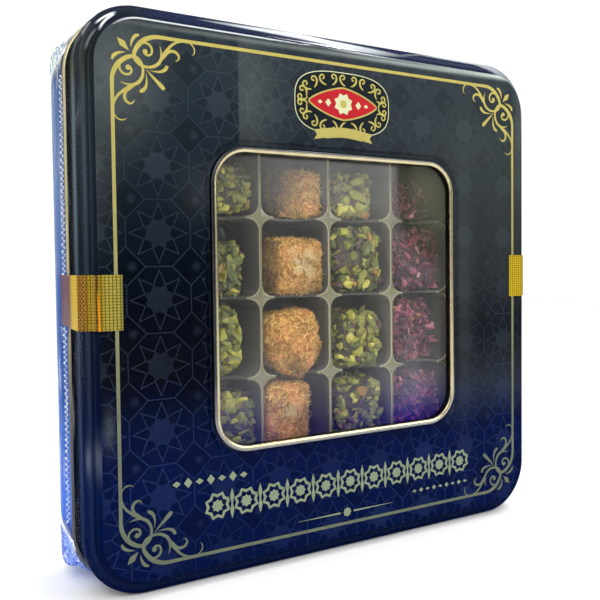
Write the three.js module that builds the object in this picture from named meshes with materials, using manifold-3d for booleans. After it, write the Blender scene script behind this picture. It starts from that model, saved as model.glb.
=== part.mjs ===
// Square gift tin of Turkish delight cubes, standing on its edge.
//
// Units are millimetres. X runs across the tin, the lid's face looks towards -Y, +Z is up,
// and the tin stands on z = 0. Pieces are built in a front frame: x across, y up, z towards
// the viewer, with z = 0 on the lid's face, so that a depth behind the face is a negative z.

import * as THREE from "three";
import { mergeVertices } from "three/addons/utils/BufferGeometryUtils.js";
import Module from "manifold-3d";

const wasm = await Module();
wasm.setup();

// Driving dimensions
const TIN_HALF = 99.5; // half the width and height over the lid's skirt
const TIN_DEPTH = 45;
const CORNER_RADIUS = 21; // at TIN_HALF
const SHEET = 0.6; // tinplate, drawn thicker than it is so that it stays a solid
const SLIP_GAP = 0.3; // between lid and base

const WINDOW_HALF = 52.6; // clear opening
const WINDOW_RADIUS = 11.4; // at WINDOW_HALF
const WINDOW_DEPTH = 3; // front of the clear sheet behind the face
const WINDOW_SHEET = 0.4;
const RIM_WIDTH = 2.2;
const RIM_PROUD = 0.5;

const SKIRT_DEPTH = 18.5; // lid skirt, down to its curl
const CURL_HEIGHT = 2;
const BASE_MOUTH = 6.4; // depth of the base's front edge, inside the lid
const HEM_DEPTH = 2.8; // seam at the back edge of the base
const PANEL_RECESS = 1.1;

const COLUMNS = 6;
const PITCH = 30.5; // pocket to pocket
const DIVIDER = 0.8; // thickness at the top of a divider
const POCKET_TOP = 11.2; // depth of the tray's top behind the face
const POCKET_FLOOR = 38.6;
const POCKET_RADIUS = 4.6;
const POCKET_DRAFT = 0.7; // how far each wall leans in by the pocket's floor
const TRAY_BOTTOM = 43;
const DIP_HALF = 9.5; // finger dip in the dividers between rows
const DIP_DEPTH = 9;
const CUBE_CLEARANCE = 0.35; // between a cube and its pocket
const CUBE_DEPTH = 22.5;
const CUBE_FRONT = 13; // usual depth of a cube's front behind the face
const CUBE_SIDE = 21; // least width and height of a cube away from the window
const CUBE_SPREAD = 2.5;
const CUBE_ROUNDNESS = 11; // exponent of the rounded block, where 2 is a ball
const COATING_SINK = 0.93; // how far out a coating piece's middle lies, 1 on the block's surface

const TAPE_HEIGHT = 18.2;
const TAPE_START = 86.4; // from the middle of the tin to the tape's end on the face
const TAPE_END_DEPTH = 38;
const TAPE_THICKNESS = 0.2;
const TAPE_GAP = 0.1;
const TAPE_LEFT_HEIGHT = 0.6; // middle of the tape, above the middle of the tin
const TAPE_RIGHT_HEIGHT = 6.5;

const SEAM_DEPTH = 24.5; // weld of the clear wrap, on the left wall of the base
const SEAM_WIDTH = 2.4;
const SEAM_THICKNESS = 0.4;
const SEAM_LIFT = 0.4; // the wrap's weld passes over the tape
const SEAM_WAVES = 24;

const CORNER_STEPS = 5;
const POCKET_STEPS = 2;
const DIP_SIDES = 8;

const materials = {
  printedTin: material(0x0c1a36, 0.22, 0.35),
  baseTin: material(0x2a4c9c, 0.25, 0.35),
  goldMetal: material(0xd8c99a, 0.25, 1),
  clearSheet: material(0xdfe4df, 0.08, 0, 0.3),
  tray: material(0x4a463c, 0.3, 0),
  goldTape: material(0xd0a81c, 0.3, 0.8),
  film: material(0xf2f4f8, 0.15, 0, 0.6),
  pistachio: material(0x8a9a3c, 0.7, 0),
  shreds: material(0xd69a4c, 0.85, 0),
  petals: material(0x7a2446, 0.75, 0),
};

function material(color, roughness, metalness, opacity = 1) {
  const transparent = opacity < 1;
  return new THREE.MeshStandardMaterial({ color, roughness, metalness, opacity, transparent });
}

// Seeded random numbers between 0 and 1.
function randomFrom(seed) {
  let state = seed * 2654435761;
  return () => {
    state = (state + 0x6d2b79f5) | 0;
    let t = Math.imul(state ^ (state >>> 15), 1 | state);
    t = (t + Math.imul(t ^ (t >>> 7), 61 | t)) ^ t;
    return ((t ^ (t >>> 14)) >>> 0) / 4294967296;
  };
}

// Rounded square, anticlockwise seen from the front.
function squareRing(half, radius, depth, steps = CORNER_STEPS) {
  const centre = half - radius;
  const points = [];
  for (let corner = 0; corner < 4; corner++) {
    const middle = (Math.PI / 2) * (corner + 0.5);
    const x = Math.sign(Math.cos(middle)) * centre;
    const y = Math.sign(Math.sin(middle)) * centre;
    for (let i = 0; i <= steps; i++) {
      const angle = (Math.PI / 2) * (corner + i / steps);
      const at = [x + radius * Math.cos(angle), y + radius * Math.sin(angle), -depth];
      points.push(new THREE.Vector3(...at));
    }
  }
  return points;
}

// Skin over a row of rings with as many points each. A closed row joins its last ring to its
// first, and an open one gets a flat cap at both ends.
function loft(rings, closed) {
  const count = rings[0].length;
  const points = rings.flat();
  const index = [];
  const strips = closed ? rings.length : rings.length - 1;
  for (let r = 0; r < strips; r++) {
    const a = r * count;
    const b = ((r + 1) % rings.length) * count;
    for (let i = 0; i < count; i++) {
      const j = (i + 1) % count;
      index.push(a + i, b + j, a + j, a + i, b + i, b + j);
    }
  }
  if (!closed) {
    const lastRing = (rings.length - 1) * count;
    points.push(new THREE.Vector3(0, 0, rings[0][0].z));
    points.push(new THREE.Vector3(0, 0, rings.at(-1)[0].z));
    for (let i = 0; i < count; i++) {
      const j = (i + 1) % count;
      index.push(points.length - 2, i, j);
      index.push(points.length - 1, lastRing + j, lastRing + i);
    }
  }
  const geometry = new THREE.BufferGeometry().setFromPoints(points);
  return geometry.setIndex(index);
}

// Ring body from a closed profile of [half width, depth] points. The corner radius follows the
// offset from a reference ring.
function profileRing(profile, refHalf, refRadius) {
  const ringAt = ([half, depth]) => squareRing(half, refRadius + half - refHalf, depth);
  return loft(profile.map(ringAt), true);
}

function solidFrom(geometry) {
  const bare = geometry.clone();
  bare.deleteAttribute("normal");
  bare.deleteAttribute("uv");
  const merged = mergeVertices(bare, 1e-4);
  const mesh = new wasm.Mesh({
    numProp: 3,
    vertProperties: merged.attributes.position.array,
    triVerts: new Uint32Array(merged.index.array),
  });
  return new wasm.Manifold(mesh);
}

function geometryFrom(solid) {
  const { vertProperties, triVerts } = solid.getMesh();
  const geometry = new THREE.BufferGeometry();
  geometry.setAttribute("position", new THREE.BufferAttribute(vertProperties, 3));
  geometry.setIndex(new THREE.BufferAttribute(triVerts, 1));
  geometry.computeVertexNormals();
  return geometry;
}

function namedMesh(name, geometry, ownMaterial) {
  const mesh = new THREE.Mesh(geometry, ownMaterial);
  mesh.name = name;
  return mesh;
}

// Lid: outer face, bevel, shoulder with a fine groove, ridge and skirt, then back inside.
const lidOutside = [
  [WINDOW_HALF + 4.6, 0],
  [TIN_HALF - 5.9, 0],
  [TIN_HALF - 5.4, 0.25],
  [TIN_HALF - 5, 1.2],
  [TIN_HALF - 4.75, 3.4],
  [TIN_HALF - 4.4, 4.1],
  [TIN_HALF - 3.8, 4],
  [TIN_HALF - 2.5, 3.85],
  [TIN_HALF - 1.3, 4.1],
  [TIN_HALF - 1, 4.4],
  [TIN_HALF - 0.7, 4.35],
  [TIN_HALF - 0.3, 4.65],
  [TIN_HALF - 0.06, 5.2],
  [TIN_HALF, 5.9],
  [TIN_HALF, SKIRT_DEPTH],
];
const lidInside = [
  [TIN_HALF - SHEET, SKIRT_DEPTH],
  [TIN_HALF - SHEET, 6],
  [TIN_HALF - 1.2, 5.05],
  [TIN_HALF - 4.6, 4.8],
  [TIN_HALF - 5.4, 4],
  [TIN_HALF - 5.8, SHEET],
  [WINDOW_HALF + 5, SHEET],
  [WINDOW_HALF + 3.7, 1.4],
  [WINDOW_HALF + 2.5, 1.4],
  [WINDOW_HALF + 2.5, 0.8],
  [WINDOW_HALF + 3.6, 0.8],
];

function lidGeometry() {
  // The corner radius changes from the window's to the tin's across the flat of the face.
  const ringAt = ([half, depth]) => {
    const byWindow = half < (WINDOW_HALF + TIN_HALF) / 2;
    const refHalf = byWindow ? WINDOW_HALF : TIN_HALF;
    const refRadius = byWindow ? WINDOW_RADIUS : CORNER_RADIUS;
    return squareRing(half, refRadius + half - refHalf, depth);
  };
  return loft([...lidOutside, ...lidInside].map(ringAt), true);
}

function curlGeometry() {
  const middle = SKIRT_DEPTH + CURL_HEIGHT / 2;
  const profile = [
    [TIN_HALF - SHEET, SKIRT_DEPTH],
    [TIN_HALF - 0.25, SKIRT_DEPTH],
    [TIN_HALF, middle - 0.6],
    [TIN_HALF, middle + 0.4],
    [TIN_HALF - 0.2, SKIRT_DEPTH + CURL_HEIGHT],
    [TIN_HALF - SHEET, SKIRT_DEPTH + CURL_HEIGHT],
  ];
  return profileRing(profile, TIN_HALF, CORNER_RADIUS);
}

function windowRimGeometry() {
  const outer = WINDOW_HALF + RIM_WIDTH;
  const flangeTop = 1.4; // touches the underside of the lid
  const profile = [
    [WINDOW_HALF, WINDOW_DEPTH],
    [WINDOW_HALF, 0.3],
    [WINDOW_HALF + 0.3, -0.25],
    [WINDOW_HALF + RIM_WIDTH / 2, -RIM_PROUD],
    [outer - 0.3, -0.25],
    [outer, 0.4],
    [outer, flangeTop],
    [outer + 3, flangeTop],
    [outer + 3, WINDOW_DEPTH],
  ];
  return profileRing(profile, WINDOW_HALF, WINDOW_RADIUS);
}

function windowSheetGeometry() {
  const half = WINDOW_HALF + RIM_WIDTH + 3;
  const radius = WINDOW_RADIUS + half - WINDOW_HALF;
  const front = squareRing(half, radius, WINDOW_DEPTH);
  const back = squareRing(half, radius, WINDOW_DEPTH + WINDOW_SHEET);
  return loft([front, back], false);
}

function baseGeometry() {
  const wall = TIN_HALF - SHEET - SLIP_GAP;
  const hemFront = TIN_DEPTH - HEM_DEPTH;
  const panel = TIN_DEPTH - PANEL_RECESS;
  const profile = [
    [wall - SHEET, panel - SHEET],
    [wall - SHEET, BASE_MOUTH],
    [wall, BASE_MOUTH],
    [wall, hemFront - 0.4],
    [TIN_HALF - 0.2, hemFront],
    [TIN_HALF, hemFront + 0.4],
    [TIN_HALF, TIN_DEPTH - 0.4],
    [TIN_HALF - 0.3, TIN_DEPTH],
    [TIN_HALF - 1.6, TIN_DEPTH],
    [TIN_HALF - 2, panel],
  ];
  const ringAt = ([half, depth]) => squareRing(half, CORNER_RADIUS + half - TIN_HALF, depth);
  return loft(profile.map(ringAt), false);
}

function pocketCentre(column, row) {
  const middle = (COLUMNS - 1) / 2;
  return [(column - middle) * PITCH, (middle - row) * PITCH];
}

// Room in one pocket, with its walls leaning in towards the floor.
function pocketSolid(shrink = 0, front = POCKET_TOP - 1) {
  const half = (PITCH - DIVIDER) / 2 - shrink;
  const floor = POCKET_FLOOR - shrink;
  const lean = POCKET_DRAFT / (POCKET_FLOOR - POCKET_TOP);
  const ringAt = (depth) => {
    const inset = lean * (depth - POCKET_TOP);
    return squareRing(half - inset, POCKET_RADIUS - inset, depth, POCKET_STEPS);
  };
  return solidFrom(loft([ringAt(front), ringAt(floor)], false));
}

function trayGeometry() {
  const half = TIN_HALF - 2 * SHEET - 2 * SLIP_GAP;
  const radius = CORNER_RADIUS + half - TIN_HALF;
  const top = squareRing(half, radius, POCKET_TOP);
  const bottom = squareRing(half, radius, TRAY_BOTTOM);
  let tray = solidFrom(loft([top, bottom], false));
  const pocket = pocketSolid();
  const dipShape = new THREE.CylinderGeometry(1, 1, 3 * DIVIDER, DIP_SIDES);
  const dip = solidFrom(dipShape.scale(DIP_HALF, 1, DIP_DEPTH));
  for (let column = 0; column < COLUMNS; column++) {
    for (let row = 0; row < COLUMNS; row++) {
      const [x, y] = pocketCentre(column, row);
      tray = tray.subtract(pocket.translate([x, y, 0]));
      if (row > 0) tray = tray.subtract(dip.translate([x, y + PITCH / 2, -POCKET_TOP]));
    }
  }
  return geometryFrom(tray);
}

// Rounded block of delight with a gently uneven surface.
function blockGeometry(width, height, depth, steps, bump, random) {
  const box = new THREE.BoxGeometry(width, height, depth, steps, steps, steps);
  box.deleteAttribute("normal");
  box.deleteAttribute("uv");
  const block = mergeVertices(box, 1e-3);
  const position = block.attributes.position;
  const point = new THREE.Vector3();
  for (let i = 0; i < position.count; i++) {
    point.fromBufferAttribute(position, i);
    const reach = [point.x / width, point.y / height, point.z / depth];
    const sum = reach.reduce((total, r) => total + Math.abs(2 * r) ** CUBE_ROUNDNESS, 0);
    point.multiplyScalar(sum ** (-1 / CUBE_ROUNDNESS));
    point.addScaledVector(point.clone().normalize(), bump * (random() - 0.5));
    position.setXYZ(i, point.x, point.y, point.z);
  }
  return block;
}

// Coatings: how rough the block is, and the pieces that are pressed into its surface.
const coatings = {
  pistachio: { bump: 0.8, pieces: 10, size: [3, 2.2, 1.6], margin: 1.2 },
  shreds: { bump: 0.9, pieces: 0, margin: 0 },
  petals: { bump: 0.9, pieces: 10, size: [3.4, 2, 0.9], margin: 0.8 },
};

function coatedBlock(coating, width, height, shown, random) {
  const { bump, pieces, size, margin } = coatings[coating];
  const steps = shown && !pieces ? 4 : 3;
  const body = [width - margin, height - margin, CUBE_DEPTH - margin];
  let solid = solidFrom(blockGeometry(...body, steps, bump, random));
  const count = shown ? pieces : Math.round(pieces / 4);
  for (let i = 0; i < count; i++) {
    const bit = new THREE.OctahedronGeometry(1, 0);
    const [a, b, c] = size.map((s) => s * (0.75 + 0.5 * random()));
    bit.scale(a, b, c).rotateZ(Math.PI * random());
    // The pieces go round the four sides and over the front, evenly by the golden angle.
    const turn = i * Math.PI * (3 - Math.sqrt(5));
    const rise = 1 - (1.5 * (i + 0.5)) / count;
    const spread = Math.sqrt(Math.max(0, 1 - rise * rise));
    const aim = new THREE.Vector3(Math.cos(turn) * spread, Math.sin(turn) * spread, rise);
    const reach = Math.max(...aim.toArray().map((v, k) => Math.abs((2 * v) / body[k])));
    bit.lookAt(aim);
    bit.translate(...aim.divideScalar(reach).multiplyScalar(COATING_SINK).toArray());
    solid = solid.add(solidFrom(bit));
  }
  return solid;
}

// Cubes seen through the window, by column and row: left, right, bottom and top of the front
// face from the middle of the tin, the turn in its plane, and how far it sits from CUBE_FRONT.
const shownCubes = {
  "1,1": [-54, -33, 32.2, 50, 2, 0],
  "1,2": [-57.5, -36, 1.2, 21.5, -3, 0],
  "1,3": [-58, -37.3, -28.5, -3.5, 0, 0],
  "1,4": [-54, -32, -59, -37, 4, 0],
  "2,1": [-20.8, -2.4, 31.4, 49.6, -2, 1],
  "2,2": [-24, -1.8, 0.9, 22.6, -1, 0],
  "2,3": [-26.5, -2.6, -29.6, -5.6, 9, -1.5],
  "2,4": [-28.6, -9.2, -59.2, -33, -2, 0],
  "3,1": [3, 23.6, 32, 49.6, 0, 1],
  "3,2": [4, 27, 1.1, 27.4, 1, -0.5],
  "3,3": [4.5, 27, -29.6, -7.2, -2, 0],
  "3,4": [4, 27.2, -59, -35, 3, 0],
  "4,1": [34, 54, 31.8, 47.6, 0, 1],
  "4,2": [34.5, 58.2, 1, 27.4, -2, 0],
  "4,3": [33, 54.8, -29.5, -4.3, 2, 0],
  "4,4": [34, 58.4, -59, -36, 0, 0],
};
const columnCoatings = ["petals", "pistachio", "shreds", "pistachio", "petals", "shreds"];

function cubeMesh(column, row) {
  const random = randomFrom(1 + column * COLUMNS + row);
  const [pocketX, pocketY] = pocketCentre(column, row);
  const shown = shownCubes[`${column},${row}`];
  const lowest = pocketY - PITCH / 2 + 1;
  const left = pocketX - CUBE_SIDE / 2 + CUBE_SPREAD * (random() - 0.5);
  const right = left + CUBE_SIDE + CUBE_SPREAD * random();
  const hidden = [left, right, lowest, lowest + CUBE_SIDE + CUBE_SPREAD * random(), 0, 0];
  const [x0, x1, y0, y1, turn, sink] = shown ?? hidden;
  const coating = columnCoatings[column];
  const solid = coatedBlock(coating, x1 - x0, y1 - y0, Boolean(shown), random)
    .rotate([0, 0, turn])
    .translate([(x0 + x1) / 2 - pocketX, (y0 + y1) / 2 - pocketY, 0])
    .translate([0, 0, -(CUBE_FRONT + sink + CUBE_DEPTH / 2)]);
  const room = pocketSolid(CUBE_CLEARANCE, WINDOW_DEPTH + 2);
  const parts = solid.intersect(room).decompose();
  parts.sort((a, b) => b.volume() - a.volume());
  const mesh = namedMesh(
    `delight_cube_r${row + 1}c${column + 1}`,
    geometryFrom(parts[0]),
    materials[coating],
  );
  mesh.position.set(pocketX, pocketY, 0);
  return mesh;
}

// Seal tape from the face over the lid's edge and down the side wall, on the +X side.
const tapePath = [
  [TAPE_START, 0],
  [TIN_HALF - 5.7, 0],
  [TIN_HALF - 5.2, 0.25],
  [TIN_HALF - 4.7, 1.2],
  [TIN_HALF - 4.2, 3.4],
  [TIN_HALF - 3.7, 3.75],
  [TIN_HALF - 1.4, 3.75],
  [TIN_HALF - 0.6, 4.05],
  [TIN_HALF + 0.02, 5],
  [TIN_HALF + 0.02, SKIRT_DEPTH + CURL_HEIGHT],
  [TIN_HALF - SHEET - SLIP_GAP, SKIRT_DEPTH + CURL_HEIGHT + 2],
  [TIN_HALF - SHEET - SLIP_GAP, TAPE_END_DEPTH],
];

// A path of [half width, depth] points moved outwards, as 2-D points with y towards the viewer.
function offsetPath(path, distance) {
  const points = path.map(([half, depth]) => new THREE.Vector2(half, -depth));
  const normals = points.slice(1).map((p, i) => {
    const along = p.clone().sub(points[i]).normalize();
    return new THREE.Vector2(-along.y, along.x);
  });
  return points.map((p, i) => {
    const before = normals[Math.max(i - 1, 0)];
    const after = normals[Math.min(i, normals.length - 1)];
    const mitre = before.clone().add(after);
    return p.clone().addScaledVector(mitre, (2 * distance) / mitre.lengthSq());
  });
}

function tapeGeometry() {
  const outer = offsetPath(tapePath, TAPE_GAP + TAPE_THICKNESS);
  const inner = offsetPath(tapePath, TAPE_GAP);
  const shape = new THREE.Shape([...outer, ...inner.reverse()]);
  const settings = { depth: TAPE_HEIGHT, bevelEnabled: false };
  const strip = new THREE.ExtrudeGeometry(shape, settings);
  return strip.translate(0, 0, -TAPE_HEIGHT / 2).rotateX(Math.PI / 2);
}

// Crinkled weld of the clear wrap, down the straight of the left wall.
function seamGeometry() {
  const length = 2 * (TIN_HALF - CORNER_RADIUS);
  const shape = new THREE.Shape();
  const edge = (side, i) => {
    const wave = 0.35 * Math.sin(i * 2.4);
    return [side * (SEAM_WIDTH / 2) + wave, (i / SEAM_WAVES - 0.5) * length];
  };
  const steps = Array.from({ length: SEAM_WAVES + 1 }, (_, i) => i);
  const outline = [
    ...steps.map((i) => edge(-1, i)),
    ...steps.reverse().map((i) => edge(1, i)),
  ];
  shape.setFromPoints(outline.map(([x, y]) => new THREE.Vector2(x, y)));
  const settings = { depth: SEAM_THICKNESS, bevelEnabled: false };
  return new THREE.ExtrudeGeometry(shape, settings);
}

const tin = new THREE.Group();
tin.rotation.x = Math.PI / 2;
tin.position.set(0, -(TIN_DEPTH - RIM_PROUD) / 2, TIN_HALF);

tin.add(namedMesh("lid", lidGeometry(), materials.printedTin));
tin.add(namedMesh("lid_curl", curlGeometry(), materials.goldMetal));
tin.add(namedMesh("window_rim", windowRimGeometry(), materials.goldMetal));
tin.add(namedMesh("window_sheet", windowSheetGeometry(), materials.clearSheet));
tin.add(namedMesh("base", baseGeometry(), materials.baseTin));
tin.add(namedMesh("tray", trayGeometry(), materials.tray));

for (let row = 0; row < COLUMNS; row++) {
  for (let column = 0; column < COLUMNS; column++) tin.add(cubeMesh(column, row));
}

const tapeRight = namedMesh("seal_tape_right", tapeGeometry(), materials.goldTape);
tapeRight.position.y = TAPE_RIGHT_HEIGHT;
tin.add(tapeRight);

const tapeLeft = namedMesh("seal_tape_left", tapeGeometry(), materials.goldTape);
tapeLeft.rotation.z = Math.PI;
tapeLeft.position.y = TAPE_LEFT_HEIGHT;
tin.add(tapeLeft);

const seam = namedMesh("film_seam", seamGeometry(), materials.film);
seam.rotation.y = -Math.PI / 2;
seam.position.set(-(TIN_HALF - SHEET - SLIP_GAP + SEAM_LIFT), 0, -SEAM_DEPTH);
tin.add(seam);

const part = new THREE.Group();
part.add(tin);

export default part;
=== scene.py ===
"""Square gift tin of Turkish delight cubes: the visual model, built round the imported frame.

Most pieces are made in a front frame in millimetres: x across, y up from the tin's middle and
depth behind the lid's face. place() takes such points to the row frame in metres.
"""

import math

import bmesh
import bpy
import numpy as np
from mathutils import Matrix, Vector


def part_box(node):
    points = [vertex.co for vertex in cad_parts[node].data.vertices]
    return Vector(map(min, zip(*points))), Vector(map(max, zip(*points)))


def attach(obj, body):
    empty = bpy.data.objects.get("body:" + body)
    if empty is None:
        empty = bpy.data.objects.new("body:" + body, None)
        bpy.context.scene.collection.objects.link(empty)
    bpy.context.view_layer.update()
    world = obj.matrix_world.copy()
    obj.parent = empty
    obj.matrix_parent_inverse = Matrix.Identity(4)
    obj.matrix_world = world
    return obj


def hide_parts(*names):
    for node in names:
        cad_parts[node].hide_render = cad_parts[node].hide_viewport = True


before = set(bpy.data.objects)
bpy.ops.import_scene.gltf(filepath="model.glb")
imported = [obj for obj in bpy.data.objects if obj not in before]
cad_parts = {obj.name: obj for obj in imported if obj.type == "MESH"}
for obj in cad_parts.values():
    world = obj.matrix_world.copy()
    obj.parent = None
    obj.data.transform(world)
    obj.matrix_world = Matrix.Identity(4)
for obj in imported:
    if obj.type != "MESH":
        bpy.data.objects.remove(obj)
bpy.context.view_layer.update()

# ---------------------------------------------------------------- sizes, in millimetres
FACE_Y = -22.25
TIN_HALF = 99.5
TIN_DEPTH = 45.0
CORNER_RADIUS = 21.0
SHEET = 0.6
SLIP_GAP = 0.3
WINDOW_HALF = 52.6
WINDOW_RADIUS = 11.4
WINDOW_DEPTH = 3.0
RIM_WIDTH = 2.2
SKIRT_DEPTH = 18.5
CURL_HEIGHT = 2.0
CURL_PROUD = 0.75
UNDER_TAPE = 0.24
BASE_MOUTH = 6.4
HEM_DEPTH = 2.8
PANEL_RECESS = 1.1
COLUMNS = 6
PITCH = 30.5
TRAY_SKIN = 0.3
DIVIDER = 0.8
POCKET_TOP = 11.2
POCKET_FLOOR = 38.6
POCKET_RADIUS = 4.6
POCKET_DRAFT = 0.7
POCKET_HALF = (PITCH - DIVIDER) / 2
DIP_HALF = 9.5
DIP_DEPTH = 9.0
CUBE_DEPTH = 22.5
CUBE_FRONT = 13.0
GOLD_HALF = 88.5
GOLD_LINE = 0.6
TAPE_HEIGHT = 18.2
TAPE_LEFT_HEIGHT = 0.6
TAPE_RIGHT_HEIGHT = 6.5
CORNER_STEPS = 20


# ---------------------------------------------------------------- mesh helpers
def place(points):
    """Front frame, in millimetres, to the row frame, in metres."""
    p = np.asarray(points, float)
    return np.stack([p[..., 0], p[..., 2] + FACE_Y, p[..., 1] + TIN_HALF], -1) * 0.001


def at_y(depth):
    """Where a depth behind the face lies in the row frame."""
    return (FACE_Y + depth) * 0.001


def at_z(up):
    """Where a height over the tin's middle lies in the row frame."""
    return (TIN_HALF + up) * 0.001


def mesh_piece(name, points, faces, material, stands_for=(), sharp=35, colours=None):
    """Smooth piece from points of the front frame, with creases past `sharp` degrees."""
    mesh = bpy.data.meshes.new(name)
    mesh.from_pydata(place(points).tolist(), [], faces)
    mesh.polygons.foreach_set("use_smooth", [True] * len(mesh.polygons))
    if sharp:
        mesh.set_sharp_from_angle(angle=math.radians(sharp))
    if colours is not None:
        layer = mesh.color_attributes.new("tone", "FLOAT_COLOR", "POINT")
        layer.data.foreach_set("color", np.asarray(colours, float).ravel())
    mesh.update()
    piece = bpy.data.objects.new(name, mesh)
    bpy.context.scene.collection.objects.link(piece)
    mesh.materials.append(material)
    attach(piece, "root")
    if stands_for:
        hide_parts(*stands_for)
    return piece


def grey_tones(shades):
    """Vertex colours from one number for each vertex."""
    return np.stack([shades, shades, shades, np.ones(len(shades))], 1)


def same(x, y):
    return x, y


def square_ring(half, radius, steps=CORNER_STEPS, sides=0):
    """Rounded square, anticlockwise seen from the front, with `sides` points along each side."""
    centre = half - radius
    ring = []
    for corner in range(4):
        turn = math.pi / 2 * corner
        middle = turn + math.pi / 4
        at = centre * np.sign([math.cos(middle), math.sin(middle)])
        for i in range(steps + 1):
            a = turn + math.pi / 2 * i / steps
            ring.append(at + radius * np.array([math.cos(a), math.sin(a)]))
        last = ring[-1]
        onward = np.array([-math.cos(turn), -math.sin(turn)])
        for i in range(sides):
            ring.append(last + onward * (2 * centre * (i + 1) / (sides + 1)))
    return np.array(ring)


def corner_radius(half):
    """Of a ring round the tin that keeps its distance from the outline in the corners too."""
    return max(2.0, CORNER_RADIUS + half - TIN_HALF)


def at_depth(ring, depth):
    return np.column_stack([ring, np.broadcast_to(depth, len(ring))])


def loft(rings, closed=False, flip=False, caps=False):
    """Quads over a row of rings of one size. An open row can have a fan at both ends."""
    count = len(rings[0])
    points = np.concatenate(rings)
    faces = []
    for r in range(len(rings) if closed else len(rings) - 1):
        a = r * count
        b = (r + 1) % len(rings) * count
        for i in range(count):
            j = (i + 1) % count
            faces.append([a + i, b + i, b + j, a + j])
    if caps:
        ends = [rings[0].mean(0), rings[-1].mean(0)]
        points = np.concatenate([points, ends])
        last = (len(rings) - 1) * count
        for i in range(count):
            j = (i + 1) % count
            faces.append([len(points) - 2, i, j])
            faces.append([len(points) - 1, last + j, last + i])
    if flip:
        faces = [f[::-1] for f in faces]
    return points, faces


def smooth_line(points, steps):
    """Catmull-Rom curve through the points, of any number of columns."""
    p = np.asarray(points, float)
    p = np.concatenate([[2 * p[0] - p[1]], p, [2 * p[-1] - p[-2]]])
    out = []
    for i in range(1, len(p) - 2):
        a, b, c, d = p[i - 1 : i + 3]
        for k in range(steps):
            t = k / steps
            bend = (2 * a - 5 * b + 4 * c - d) * t**2
            out.append(0.5 * (2 * b + (c - a) * t + bend + (3 * b - a - 3 * c + d) * t**3))
    out.append(p[-2])
    return np.array(out)


# ---------------------------------------------------------------- material graphs
def shown(red, green, blue):
    """A colour as a screen shows it, 0 to 255, as the linear values that shaders take."""
    return tuple((c / 255) ** 2.2 for c in (red, green, blue))


def shown_rows(*rows):
    """(number, colour) pairs, from rows of a number and a colour as a screen shows it."""
    return [(number, shown(*colour)) for number, *colour in rows]


def sign(operation, swapped=False):
    """What a sign of Python does with a value: it adds a maths node, with the sides in order."""
    if swapped:
        return lambda value, other: value.graph.math(operation, other, value)
    return lambda value, other: value.graph.math(operation, value, other)


class Value:
    """An output of a node that Python's own signs work on."""

    def __init__(self, graph, socket):
        self.graph, self.socket = graph, socket

    def __abs__(self):
        return self.graph.math("ABSOLUTE", self)

    __add__, __radd__ = sign("ADD"), sign("ADD", True)
    __sub__, __rsub__ = sign("SUBTRACT"), sign("SUBTRACT", True)
    __mul__, __rmul__ = sign("MULTIPLY"), sign("MULTIPLY", True)
    __truediv__, __mod__ = sign("DIVIDE"), sign("FLOORED_MODULO")
    __gt__, __lt__ = sign("GREATER_THAN"), sign("LESS_THAN")


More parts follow.
